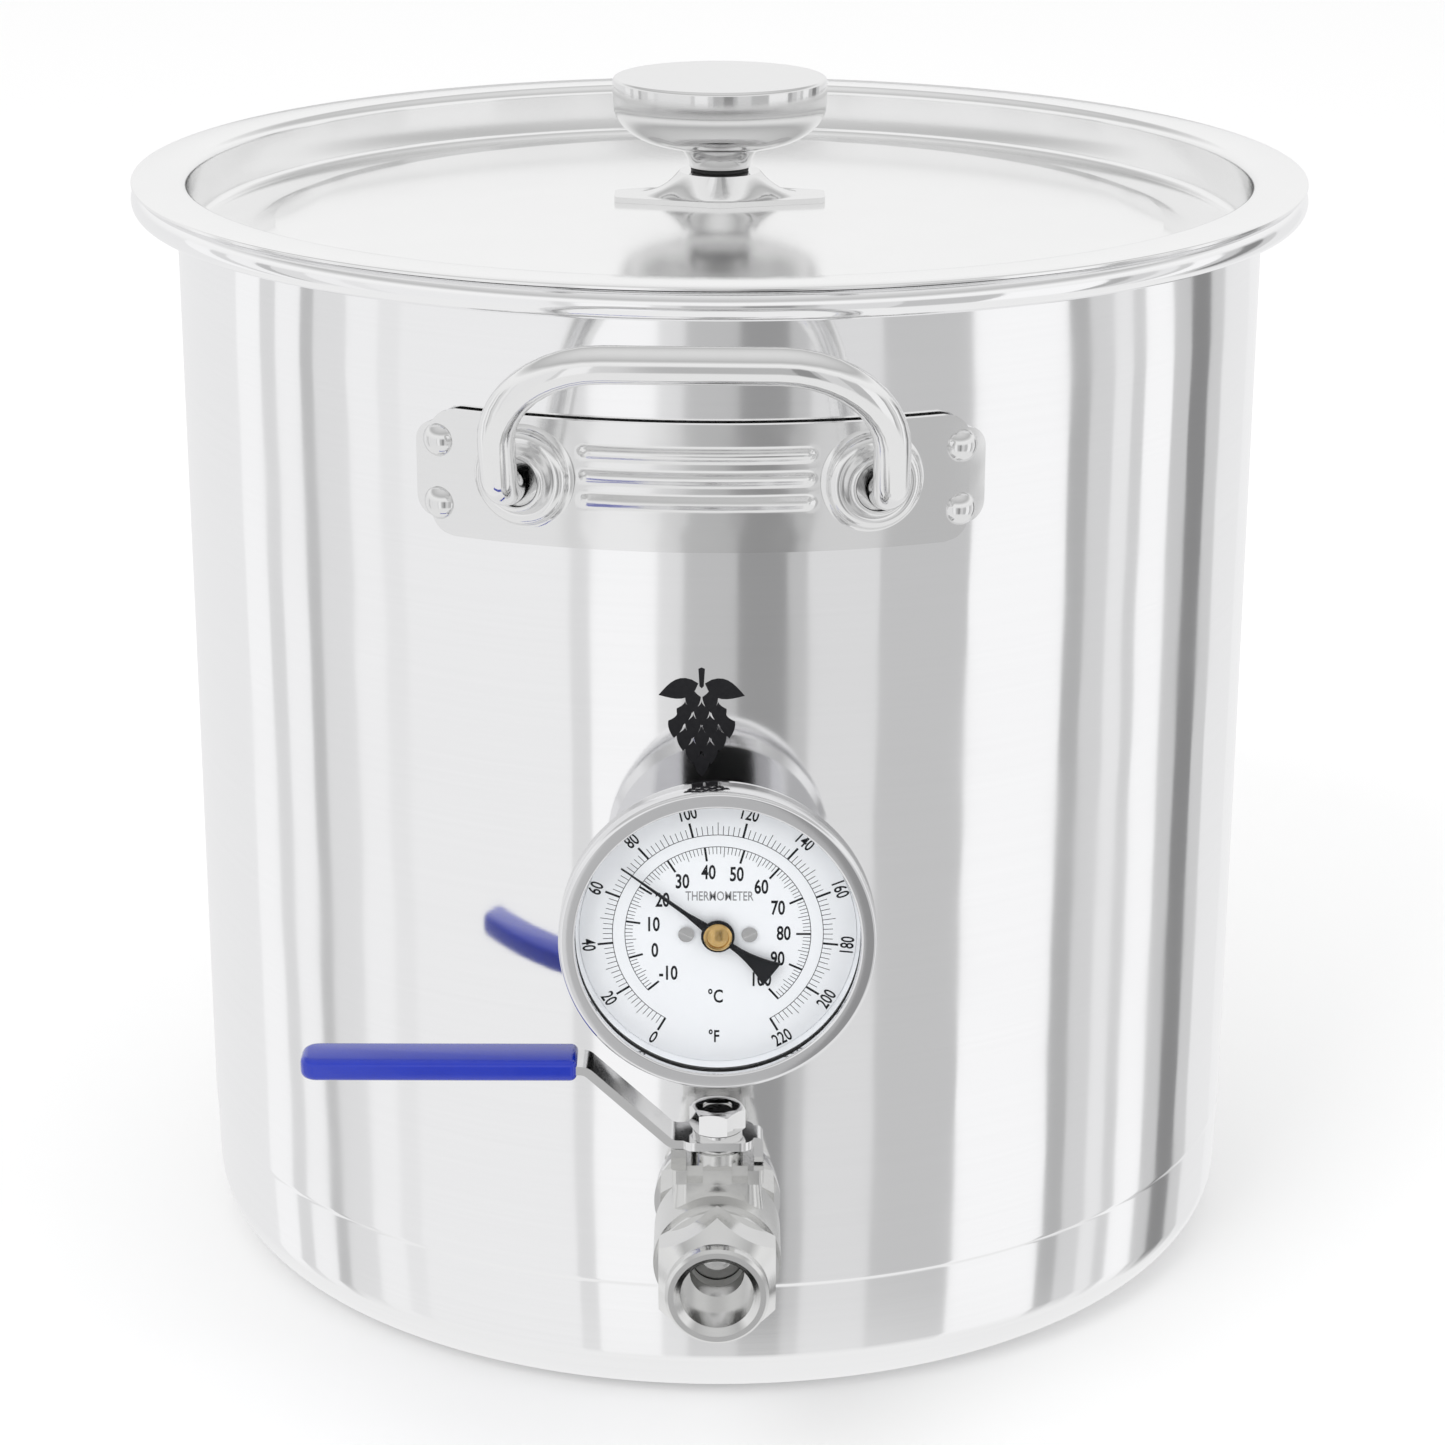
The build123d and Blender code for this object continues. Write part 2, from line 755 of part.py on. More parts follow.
stem_radius = stem_diameter / 2
stem_collar_radius = stem_radius + stem_collar
packing_radius = stem_radius + packing_wall
slot_base = valve_height + ball_radius - ball_slot_depth
collar_base = valve_height + ball_radius + moving_gap / 2
collar_top = collar_base + stem_collar_thickness
gland_land_top = valve_pad_height + gland_land_height
packing_base = gland_land_top - packing_cover - packing_height
stem_plane = Plane(origin=(0, -stem_reach, 0))

with BuildPart() as valve_body:
    add_hex(side_plane(0, valve_height, inlet), valve_hex, valve_inlet_hex_length + 1, corner_up)
    add_turned(
        valve_section,
        (
            (inlet_hex_stop, 0),
            (inlet_hex_stop, barrel_radius - valve_shoulder_drop),
            (inlet_hex_stop + valve_shoulder_length, barrel_radius),
            (seam_reach, barrel_radius),
            (seam_reach, 0),
        ),
    )
    # the stem tower widens down into the barrel and carries a slotted pad
    with BuildSketch(stem_plane.offset(valve_pad_height)) as tower:
        RectangleRounded(valve_pad_length - 2 * valve_pad_corner, valve_tower_width, 2 * valve_pad_corner)
    extrude(tower.sketch, amount=-valve_tower_height, taper=-valve_tower_taper)
    with BuildSketch(stem_plane.offset(valve_pad_height - valve_pad_thickness)) as pad:
        RectangleRounded(valve_pad_length, valve_pad_width, valve_pad_corner)
    extrude(pad.sketch, amount=valve_pad_thickness)
    with BuildSketch(stem_plane.offset(valve_pad_height)) as gland_land:
        Circle(gland_land_radius)
    extrude(gland_land.sketch, amount=gland_land_height)
    # the lug under the lever that its stop tab meets when the valve is open
    with BuildSketch(stem_plane.offset(valve_pad_height)) as stop_lug:
        with Locations(((stop_lug_length - valve_pad_length) / 2, 0)):
            Rectangle(stop_lug_length, stop_lug_width)
    extrude(stop_lug.sketch, amount=lever_height - stop_lug_gap - valve_pad_height)
    with BuildSketch(stem_plane.offset(valve_pad_height - valve_pad_thickness)) as pad_slots:
        with GridLocations(2 * pad_slot_offset, valve_pad_width, 2, 2):
            Rectangle(pad_slot_width, 2 * pad_slot_depth)
    extrude(pad_slots.sketch, amount=valve_pad_thickness + 1, mode=Mode.SUBTRACT)
    # ball cavity, way in for the flow and the thread for the nipple
    add_ring(valve_section, stem_reach - seat_reach, seam_reach + 1, seat_pocket_radius, mode=Mode.SUBTRACT)
    add_ring(
        valve_section, inlet - 1, nipple_stop + moving_gap, nipple_radius + shank_clearance, mode=Mode.SUBTRACT
    )
    add_ring(valve_section, inlet, stem_reach, flow_radius, mode=Mode.SUBTRACT)
    # stem bore
    with BuildSketch(stem_plane.offset(valve_height)) as stem_bore:
        Circle(stem_radius + running_clearance)
    extrude(stem_bore.sketch, amount=lever_height - valve_height, mode=Mode.SUBTRACT)
    with BuildSketch(stem_plane.offset(valve_height)) as collar_bore:
        Circle(stem_collar_radius + moving_gap)
    extrude(collar_bore.sketch, amount=collar_top - valve_height + moving_gap, mode=Mode.SUBTRACT)
    with BuildSketch(stem_plane.offset(packing_base)) as packing_pocket:
        Circle(packing_radius)
    extrude(packing_pocket.sketch, amount=2 * packing_height, mode=Mode.SUBTRACT)

save(valve_body, "valve_body")

with BuildPart() as valve_end_piece:
    add_turned(
        valve_section,
        (
            (seam_reach, 0),
            (seam_reach, barrel_radius - 0.9),
            (seam_reach + valve_collar_length / 3, barrel_radius - 0.9),
            (seam_reach + 2 * valve_collar_length / 3, hex_corner - valve_collar_drop),
            (cap_collar_stop, hex_corner - valve_collar_drop),
            (cap_collar_stop, 0),
        ),
    )
    with BuildSketch(side_plane(0, valve_height, cap_collar_stop - 1)) as hex_nose:
        RegularPolygon(valve_hex / 2, 6, major_radius=False, rotation=corner_up)
    extrude(hex_nose.sketch, amount=outlet - cap_collar_stop + 1)
    # the nose is turned down from the hexagon's corners to the round lip
    with BuildSketch(valve_section) as nose_turning:
        with BuildLine():
            Polyline(
                (seam_reach - 1, 0),
                (seam_reach - 1, hex_corner + eps),
                (outlet - valve_lip_length - valve_nose_cone, hex_corner + eps),
                (outlet - valve_lip_length, valve_lip_diameter / 2),
                (outlet - valve_lip_chamfer, valve_lip_diameter / 2),
                (outlet, valve_lip_diameter / 2 - valve_lip_chamfer),
                (outlet, 0),
                close=True,
            )
        make_face()
    revolve(nose_turning.sketch, axis=Axis(valve_section.origin, valve_section.x_dir), mode=Mode.INTERSECT)
    # thread bore with its lead-in, and the flow bore behind it
    add_turned(
        valve_section,
        (
            (thread_stop, 0),
            (thread_stop, valve_bore_diameter / 2),
            (outlet - (valve_mouth_diameter - valve_bore_diameter) / 2, valve_bore_diameter / 2),
            (outlet, valve_mouth_diameter / 2),
            (outlet + 1, valve_mouth_diameter / 2),
            (outlet + 1, 0),
        ),
        mode=Mode.SUBTRACT,
    )
    add_ring(valve_section, seam_reach - 1, outlet, flow_radius, mode=Mode.SUBTRACT)

save(valve_end_piece, "valve_end_piece")

with BuildPart() as ball_seats:
    for seat_side in (-1, 1):
        inner_face = stem_reach + seat_side * (seat_reach - seat_thickness - seat_backing)
        outer_face = stem_reach + seat_side * seat_reach
        add_ring(
            valve_section,
            min(inner_face, outer_face),
            max(inner_face, outer_face),
            seat_pocket_radius - shank_clearance,
            flow_radius,
        )
    with Locations((0, -stem_reach, valve_height)):
        Sphere(ball_radius + seat_clearance, mode=Mode.SUBTRACT)

save(ball_seats, "ball_seats")

with BuildPart() as valve_ball:
    with Locations((0, -stem_reach, valve_height)):
        Sphere(ball_radius)
    with BuildSketch(Plane.YZ.offset(-ball_diameter)) as ball_port:
        with Locations((-stem_reach, valve_height)):
            Circle(flow_radius)
    extrude(ball_port.sketch, amount=2 * ball_diameter, mode=Mode.SUBTRACT)
    with BuildSketch(stem_plane.offset(slot_base)) as ball_slot:
        Rectangle(stem_tang_width + 2 * running_clearance, 2 * ball_diameter)
    extrude(ball_slot.sketch, amount=2 * ball_slot_depth, mode=Mode.SUBTRACT)

save(valve_ball, "valve_ball")

lever_top = lever_height + lever_thickness
nut_base = lever_top + lever_washer_thickness
stem_top = nut_base + lever_nut_height - lever_nut_sink

with BuildPart() as valve_stem:
    with BuildSketch(stem_plane.offset(slot_base + running_clearance)) as tang:
        RectangleRounded(stem_tang_width, stem_tang_length, stem_tang_width / 6)
    extrude(tang.sketch, amount=collar_base - slot_base)
    with BuildSketch(stem_plane.offset(collar_base)) as collar:
        Circle(stem_collar_radius)
    extrude(collar.sketch, amount=stem_collar_thickness)
    with BuildSketch(stem_plane.offset(collar_base)) as shaft:
        Circle(stem_radius)
    extrude(shaft.sketch, amount=stem_top - collar_base)
    # two flats that turn the lever
    with BuildSketch(stem_plane.offset(lever_height - moving_gap)) as flats:
        with GridLocations(0, stem_diameter + stem_flats, 1, 2):
            Rectangle(2 * stem_diameter, stem_diameter)
    extrude(flats.sketch, amount=stem_top - lever_height + 1, mode=Mode.SUBTRACT)

save(valve_stem, "valve_stem")

with BuildPart() as stem_packing:
    with BuildSketch(stem_plane.offset(packing_base)):
        Circle(packing_radius - shank_clearance)
        Circle(stem_radius + running_clearance, mode=Mode.SUBTRACT)
    extrude(amount=packing_height)

save(stem_packing, "stem_packing")

with BuildPart() as gland_ring:
    with BuildSketch(stem_plane.offset(packing_base + packing_height)):
        Circle(packing_radius - shank_clearance)
        Circle(stem_radius + running_clearance, mode=Mode.SUBTRACT)
    extrude(amount=gland_ring_thickness)

save(gland_ring, "gland_ring")

tab_bend_radius = 0.7 * lever_thickness

with BuildPart() as valve_lever:
    # side view: flat hub, slanted strap and flat handle, one thickness throughout
    with BuildSketch(Plane.XZ.offset(stem_reach - lever_width / 2)) as strap_side:
        with BuildLine() as strap_line:
            FilletPolyline(
                (lever_bend_start / 2, lever_height + lever_thickness / 2),
                (-lever_bend_start, lever_height + lever_thickness / 2),
                (-lever_bend_end, lever_height + lever_thickness / 2 + lever_rise),
                (-lever_length, lever_height + lever_thickness / 2 + lever_rise),
                radius=lever_bend_radius,
            )
        trace(strap_line.line, line_width=lever_thickness)
    extrude(strap_side.sketch, amount=lever_width)
    with BuildSketch(stem_plane.offset(lever_height)) as hub:
        RectangleRounded(lever_hub_length, lever_hub_width, lever_hub_corner)
    extrude(hub.sketch, amount=lever_thickness)
    # the stop tab, turned down at the end of the hub away from the handle
    with BuildSketch(stem_plane.offset(lever_height)) as tab_web:
        with Locations((lever_tab_reach / 2, 0)):
            Rectangle(lever_tab_reach, lever_tab_width)
    extrude(tab_web.sketch, amount=lever_thickness)
    with BuildSketch(stem_plane.offset(valve_pad_height + lever_tab_gap)) as tab:
        with Locations((lever_tab_reach - lever_thickness / 2, 0)):
            Rectangle(lever_thickness, lever_tab_width)
    extrude(tab.sketch, amount=lever_height + lever_thickness - valve_pad_height - lever_tab_gap)
    fillet(valve_lever.edges().filter_by(Axis.Y).group_by(Axis.X)[-1].sort_by(Axis.Z)[-1], radius=tab_bend_radius)
    # double-D hole over the stem's flats
    with BuildSketch(stem_plane.offset(lever_height - 1)) as hub_hole:
        Circle(stem_radius + running_clearance)
        Rectangle(2 * stem_diameter, stem_flats + 2 * running_clearance, mode=Mode.INTERSECT)
    extrude(hub_hole.sketch, amount=2 * lever_thickness, mode=Mode.SUBTRACT)

save(valve_lever, "valve_lever")

grip_middle = lever_height + lever_thickness / 2 + lever_rise
grip_stop = -lever_length - grip_tip
grip_width = lever_width + 2 * grip_wall

with BuildPart() as lever_grip:
    with BuildSketch(Plane.YZ.offset(grip_stop)) as grip_section:
        with Locations((-stem_reach, grip_middle)):
            RectangleRounded(grip_width, grip_thickness, 0.45 * grip_thickness)
    extrude(grip_section.sketch, amount=grip_length)
    fillet(lever_grip.faces().sort_by(Axis.X)[0].edges(), radius=grip_tip_radius)
    with BuildSketch(Plane.YZ.offset(-lever_length)) as strap_way:
        with Locations((-stem_reach, grip_middle)):
            Rectangle(lever_width, lever_thickness)
    extrude(strap_way.sketch, amount=grip_length, mode=Mode.SUBTRACT)

save(lever_grip, "lever_grip")

with BuildPart() as lever_washer:
    with BuildSketch(stem_plane.offset(lever_top)):
        Circle(lever_washer_radius)
        Circle(stem_radius + shank_clearance, mode=Mode.SUBTRACT)
    extrude(amount=lever_washer_thickness)

save(lever_washer, "lever_washer")

with BuildPart() as lever_nut:
    add_hex(stem_plane.offset(nut_base), lever_nut_width, lever_nut_height, lever_nut_turn)
    with BuildSketch(stem_plane.offset(nut_base - 1)) as nut_bore:
        Circle(stem_radius + shank_clearance)
    extrude(nut_bore.sketch, amount=lever_nut_height + 2, mode=Mode.SUBTRACT)
    # corners turned off, top and bottom
    nut_corner = lever_nut_width / 2 / cos(radians(30))
    with BuildSketch(Plane(origin=(0, -stem_reach, 0), x_dir=(1, 0, 0), z_dir=(0, -1, 0))) as nut_turning:
        with BuildLine():
            Polyline(
                (0, nut_base),
                (nut_corner - lever_nut_chamfer, nut_base),
                (nut_corner, nut_base + lever_nut_chamfer / 2),
                (nut_corner, nut_base + lever_nut_height - lever_nut_chamfer / 2),
                (nut_corner - lever_nut_chamfer, nut_base + lever_nut_height),
                (0, nut_base + lever_nut_height),
                close=True,
            )
        make_face()
    revolve(
        nut_turning.sketch, axis=Axis((0, -stem_reach, 0), (0, 0, 1)), mode=Mode.INTERSECT
    )

save(lever_nut, "lever_nut")


# ================================================================ dial thermometer
dial_section = front_section(dial_height)
bezel_front = pot_radius + dial_reach
bezel_radius = bezel_diameter / 2
window_radius = bezel_radius - bezel_face_width
case_radius = bezel_radius - bezel_thickness - shank_clearance
lens_radius = case_radius - shank_clearance
lens_front = bezel_front - bezel_thickness - lens_lip
lens_back = lens_front - lens_thickness
case_front = lens_back - lens_seal_thickness
case_back = bezel_front - case_depth
dial_front = bezel_front - dial_depth
dial_back = dial_front - dial_thickness
probe_radius = probe_diameter / 2
hex_stop = case_back
hex_root = hex_stop - probe_hex_length
probe_tip = pot_radius - probe_length
fitting_bore = probe_radius + shank_clearance
spigot_radius = fitting_bore + spigot_wall
spigot_stop = case_back + case_wall + spigot_proud
ring_mouth_radius = window_radius - dial_ring_slope
needle_length = ring_mouth_radius - needle_edge_gap
spindle_radius = spindle_diameter / 2
spindle_eye_radius = 2 * spindle_radius
washer_stop = seal_stop + bulkhead_washer_thickness
coil_radius = probe_radius - probe_wall - coil_wire_radius - coil_wall_gap

with BuildPart() as thermo_bezel:
    # rolled over the case: outer rim and a face that rises a little towards the window
    add_turned(
        dial_section,
        (
            (bezel_front - bezel_depth, bezel_radius - bezel_thickness),
            (bezel_front - bezel_depth, bezel_radius),
            (bezel_front - bezel_thickness - bezel_edge_radius, bezel_radius),
            (bezel_front - bezel_thickness, bezel_radius - bezel_edge_radius),
            (bezel_front, window_radius + bezel_edge_radius),
            (bezel_front, window_radius + bezel_edge_radius / 2),
            (bezel_front - bezel_edge_radius / 2, window_radius),
            (lens_front, window_radius),
            (lens_front, bezel_radius - bezel_thickness),
        ),
    )

save(thermo_bezel, "thermo_bezel")

with BuildPart() as thermo_lens:
    add_ring(dial_section, lens_back, lens_front, lens_radius)

save(thermo_lens, "thermo_lens")

with BuildPart() as lens_seal:
    add_ring(dial_section, case_front, lens_back, lens_radius, window_radius)

save(lens_seal, "lens_seal")

with BuildPart() as thermo_case:
    # cup with a step that the dial plate sits on and a hole for the fitting's spigot
    add_turned(
        dial_section,
        (
            (case_back, spigot_radius),
            (case_back, case_radius - case_back_slope),
            (case_back + case_back_slope, case_radius),
            (case_front, case_radius),
            (case_front, case_radius - case_wall),
            (dial_back, case_radius - case_wall),
            (dial_back, case_radius - case_wall - case_step),
            (case_back + case_wall + case_back_slope, case_radius - case_wall - case_step),
            (case_back + case_wall, case_radius - case_wall - case_step - case_back_slope),
            (case_back + case_wall, spigot_radius),
        ),
    )

save(thermo_case, "thermo_case")

with BuildPart() as dial_plate:
    add_ring(dial_section, dial_back, dial_front, ring_mouth_radius - shank_clearance, spindle_eye_radius)

save(dial_plate, "dial_plate")

with BuildPart() as dial_ring:
    # the pale ring round the dial, opening a little towards the lens
    add_turned(
        dial_section,
        (
            (dial_back, ring_mouth_radius),
            (dial_back, case_radius - case_wall - shank_clearance),
            (case_front, case_radius - case_wall - shank_clearance),
            (case_front, window_radius),
            (dial_front, ring_mouth_radius),
        ),
    )

save(dial_ring, "dial_ring")

with BuildPart() as dial_screws:
    for screw_side in (-1, 1):
        screw_place = side_plane(0, dial_height, dial_front)
        with BuildSketch(screw_place) as screw_head:
            with Locations((screw_side * dial_screw_offset, 0)):
                Circle(dial_screw_diameter / 2)
        extrude(screw_head.sketch, amount=dial_screw_height)
        with BuildSketch(screw_place.offset(dial_screw_height / 2)) as screw_slot:
            with Locations((screw_side * dial_screw_offset, 0)):
                Rectangle(2 * dial_screw_diameter, dial_screw_slot, rotation=screw_side * dial_screw_turn)
        extrude(screw_slot.sketch, amount=dial_screw_height, mode=Mode.SUBTRACT)

save(dial_screws, "dial_screws")

with BuildPart() as probe_fitting:
    # spigot through the case's back, hexagon, neck and the thread through the wall
    add_hex(side_plane(0, dial_height, hex_root), probe_hex, probe_hex_length, corner_up)
    add_ring(dial_section, hex_stop - eps, spigot_stop, spigot_radius - shank_clearance)
    add_ring(dial_section, washer_stop, hex_root + eps, probe_thread_radius + probe_neck_wall)
    add_ring(dial_section, inner_radius - probe_thread_inside, washer_stop + eps, probe_thread_radius)
    add_ring(
        dial_section, inner_radius - probe_thread_inside - 1, spigot_stop + 1, fitting_bore, mode=Mode.SUBTRACT
    )

save(probe_fitting, "probe_fitting")

with BuildPart() as probe_tube:
    add_ring(dial_section, probe_tip, spigot_stop, probe_radius, probe_radius - probe_wall)
    add_ring(dial_section, probe_tip, probe_tip + 2 * probe_wall, probe_radius)
    fillet(probe_tube.edges().filter_by(GeomType.CIRCLE).sort_by(Axis.Y)[-1], radius=probe_wall)

save(probe_tube, "probe_tube")

with BuildPart() as bimetal_coil:
    with BuildLine() as coil_route:
        Helix(
            pitch=coil_pitch,
            height=coil_pitch * coil_turns,
            radius=coil_radius,
            center=(0, -(probe_tip + coil_inset), dial_height),
            direction=front,
        )
    with BuildSketch(Plane(origin=coil_route.line @ 0, z_dir=coil_route.line % 0)):
        Circle(coil_wire_radius)
    sweep(path=coil_route.line, is_frenet=True)

save(bimetal_coil, "bimetal_coil")

needle_turn = radians(needle_rest_clock)
needle_back = dial_front + needle_gap
needle_plane = Plane(
    origin=(0, -needle_back, dial_height),
    x_dir=(sin(needle_turn), 0, cos(needle_turn)),
    z_dir=front,
)

with BuildPart() as needle:
    with BuildSketch(needle_plane):
        with BuildLine():
            Polyline(
                (needle_length, needle_tip_width / 2),
                (needle_length, -needle_tip_width / 2),
                (0, -needle_root_width / 2),
                (-needle_tail_length / 3, -needle_root_width / 3),
                (-needle_tail_length, -needle_tail_width / 2),
                (-needle_tail_length - needle_tip_width, 0),
                (-needle_tail_length, needle_tail_width / 2),
                (-needle_tail_length / 3, needle_root_width / 3),
                (0, needle_root_width / 2),
                close=True,
            )
        make_face()
        Circle(needle_eye_radius)
        Circle(spindle_radius, mode=Mode.SUBTRACT)
    extrude(amount=needle_thickness)

save(needle, "needle")

hub_back = needle_back + needle_thickness
hub_front = hub_back + needle_hub_height

with BuildPart() as needle_hub:
    add_ring(dial_section, hub_back, hub_front, needle_hub_diameter / 2, spindle_radius)
    hub_rim = needle_hub.edges().filter_by(GeomType.CIRCLE).group_by(Axis.Y)[0].sort_by(SortBy.RADIUS)[-1]
    chamfer(hub_rim, needle_hub_height / 3)

save(needle_hub, "needle_hub")

with BuildPart() as needle_spindle:
    spindle_start = probe_tip + coil_inset + coil_pitch * (coil_turns - 0.5)
    add_ring(dial_section, spindle_start, hub_front, spindle_radius)

save(needle_spindle, "needle_spindle")

with BuildPart() as spindle_bush:
    add_ring(
        dial_section,
        case_back - spigot_wall,
        spigot_stop,
        probe_radius - probe_wall - shank_clearance,
        spindle_radius + running_clearance,
    )

save(spindle_bush, "spindle_bush")

print("flange top", flange_top, "knob top", round(knob_top, 2), "outlet", outlet, "bezel front", bezel_front)
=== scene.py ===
# %% [markdown]
# # Brew kettle
# A stainless kettle is mostly mirror: what the eye reads as its shape is the studio bent
# round a polished cylinder. So this lesson makes smooth turned shells, keeps their
# outlines exact, and spends its care on the finish and on what the steel has to reflect.
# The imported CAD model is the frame. Every piece here sits where the frame says.

# %% Load the frame
import bmesh
import bpy
import json
from math import asin, cos, degrees, pi, radians, sin, sqrt, tan
from mathutils import Matrix, Vector


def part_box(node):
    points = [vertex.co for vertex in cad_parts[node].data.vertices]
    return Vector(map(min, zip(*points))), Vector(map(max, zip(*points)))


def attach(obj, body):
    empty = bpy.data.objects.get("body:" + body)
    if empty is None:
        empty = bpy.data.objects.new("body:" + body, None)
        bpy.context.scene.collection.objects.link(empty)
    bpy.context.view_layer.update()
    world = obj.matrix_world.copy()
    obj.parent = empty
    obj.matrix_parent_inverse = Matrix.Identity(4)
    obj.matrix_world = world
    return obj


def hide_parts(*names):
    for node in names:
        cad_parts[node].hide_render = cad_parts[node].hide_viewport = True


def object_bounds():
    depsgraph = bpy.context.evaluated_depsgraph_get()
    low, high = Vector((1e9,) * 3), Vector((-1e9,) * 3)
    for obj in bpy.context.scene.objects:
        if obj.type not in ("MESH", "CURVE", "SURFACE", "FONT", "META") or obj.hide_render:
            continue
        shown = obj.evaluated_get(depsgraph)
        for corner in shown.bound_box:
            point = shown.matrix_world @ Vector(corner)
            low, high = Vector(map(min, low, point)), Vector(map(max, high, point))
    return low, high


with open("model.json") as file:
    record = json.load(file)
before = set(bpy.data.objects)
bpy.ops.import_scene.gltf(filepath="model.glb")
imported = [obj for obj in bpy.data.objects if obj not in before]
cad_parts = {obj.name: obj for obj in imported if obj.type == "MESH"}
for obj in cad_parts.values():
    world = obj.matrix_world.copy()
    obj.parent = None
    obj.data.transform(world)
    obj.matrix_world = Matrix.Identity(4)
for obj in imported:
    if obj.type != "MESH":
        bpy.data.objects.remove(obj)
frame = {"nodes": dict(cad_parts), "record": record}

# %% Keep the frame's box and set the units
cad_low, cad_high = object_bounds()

MM = 0.001
FULL_TURN = 2 * pi

# %% [markdown]
# ## Camera
# A long lens from just above the rim: the pot's sides stay nearly parallel and the lid
# shows as a thin ellipse. The camera aims level along +Y and is pitched down.

# %% Camera
camera_data = bpy.data.cameras.new("camera")
camera_data.lens = 90.76
camera_data.sensor_width = 36.0
camera_data.clip_end = 60.0
camera = bpy.data.objects.new("camera", camera_data)
camera.location = (0.0, -1.1108, 0.5326)
camera_pitch, camera_roll, camera_yaw = radians(18.77), radians(0.16), radians(-0.068)
camera.rotation_euler = (
    Matrix.Rotation(camera_yaw, 3, "Z")
    @ Matrix.Rotation(pi / 2 - camera_pitch, 3, "X")
    @ Matrix.Rotation(camera_roll, 3, "Z")
).to_euler()
bpy.context.scene.collection.objects.link(camera)
bpy.context.scene.camera = camera
bpy.context.scene.view_settings.view_transform = "Standard"
print("camera at", tuple(camera.location), "lens", camera_data.lens)

# %% [markdown]
# ## Studio
# Product photographers light a polished pot with paper, not lamps: white and grey cards
# stand in a ring, and the cylinder shows each one as an upright band. The world does
# the same here. A colour ramp over the compass direction holds the cards, and only the
# steel sees them; everything else sees plain pale paper.

# %% Cards in the ring, as compass direction from the front and brightness
def studio_cards():
    """Each card: the direction where it starts, in degrees clockwise from above, and its grey."""
    return [
        (-180, 0.86), (-122, 0.97), (-112, 0.73), (-106, 0.94), (-98, 0.54), (-94, 0.77),
        (-83, 0.92), (-75, 0.84), (-70, 0.89), (-32, 0.74), (-27, 0.99), (-14, 0.76),
        (-8, 0.53), (3, 0.32), (13, 0.54), (17, 0.74), (33, 0.57), (53, 1.00),
        (76, 0.46), (82, 0.68), (89, 0.85), (95, 0.66), (99, 1.00), (109, 0.61),
        (116, 0.26), (124, 0.64), (131, 0.85), (150, 0.89),
    ]


def add_node(tree, kind, where=None, **settings):
    """A node with its settings and any socket values given by name."""
    node = tree.nodes.new(kind)
    for key, value in settings.items():
        setattr(node, key, value)
    for key, value in (where or {}).items():
        node.inputs[key].default_value = value
    return node


world = bpy.data.worlds.new("studio")
bpy.context.scene.world = world
world.use_nodes = True
tree = world.node_tree
tree.nodes.clear()
direction = add_node(tree, "ShaderNodeTexCoord")
split = add_node(tree, "ShaderNodeSeparateXYZ")
tree.links.new(direction.outputs["Generated"], split.inputs[0])
flip = add_node(tree, "ShaderNodeMath", operation="MULTIPLY", where={1: -1.0})
tree.links.new(split.outputs["Y"], flip.inputs[0])
compass = add_node(tree, "ShaderNodeMath", operation="ARCTAN2")
tree.links.new(split.outputs["X"], compass.inputs[0])
tree.links.new(flip.outputs[0], compass.inputs[1])
unit = add_node(tree, "ShaderNodeMapRange", where={"From Min": -pi, "From Max": pi})
tree.links.new(compass.outputs[0], unit.inputs["Value"])
cards = add_node(tree, "ShaderNodeValToRGB")
cards.color_ramp.interpolation = "CONSTANT"
tree.links.new(unit.outputs[0], cards.inputs["Fac"])
for index, (start, grey) in enumerate(studio_cards()):
    place = (start + 180) / 360
    stops = cards.color_ramp.elements
    stop = stops[0] if index == 0 else stops[1] if index == 1 else stops.new(place)
    stop.position = place
    stop.color = (grey, grey, grey * 1.005, 1)
print("cards in the ring:", len(cards.color_ramp.elements))

# %% [markdown]
# Above the cards hangs a pale ceiling, a little greyer towards the zenith, so the lid and
# the upper sides of the fittings have a slope of light to show. Light Path picks who sees
# what: glossy rays get the studio, camera and diffuse rays get the pale paper.

# %% Ceiling, and who sees what
ceiling_edge = add_node(tree, "ShaderNodeMapRange", where={"From Min": 0.02, "From Max": 0.16})
tree.links.new(split.outputs["Z"], ceiling_edge.inputs["Value"])
ceiling = add_node(tree, "ShaderNodeValToRGB")
for index, (place, grey) in enumerate([(0.0, 0.90), (0.38, 0.97), (0.60, 0.55), (1.0, 0.80)]):
    stops = ceiling.color_ramp.elements
    stop = stops[index] if index < 2 else stops.new(place)
    stop.position = place
    stop.color = (grey, grey, grey, 1)
tree.links.new(split.outputs["Z"], ceiling.inputs["Fac"])
studio = add_node(tree, "ShaderNodeMix", data_type="RGBA")
tree.links.new(ceiling_edge.outputs[0], studio.inputs[0])
tree.links.new(cards.outputs["Color"], studio.inputs[6])
tree.links.new(ceiling.outputs["Color"], studio.inputs[7])
paper_edge = add_node(tree, "ShaderNodeMapRange", where={"From Min": -0.50, "From Max": -0.62})
tree.links.new(split.outputs["Z"], paper_edge.inputs["Value"])
grounded = add_node(tree, "ShaderNodeMix", data_type="RGBA")
grounded.inputs[7].default_value = (0.90, 0.90, 0.90, 1)
tree.links.new(paper_edge.outputs[0], grounded.inputs[0])
tree.links.new(studio.outputs[2], grounded.inputs[6])
path = add_node(tree, "ShaderNodeLightPath")
seen = add_node(tree, "ShaderNodeMix", data_type="RGBA")
seen.inputs[6].default_value = (1.0, 1.0, 1.0, 1)
tree.links.new(path.outputs["Is Glossy Ray"], seen.inputs[0])
tree.links.new(grounded.outputs[2], seen.inputs[7])
backdrop = add_node(tree, "ShaderNodeBackground", where={"Strength": 1.0})
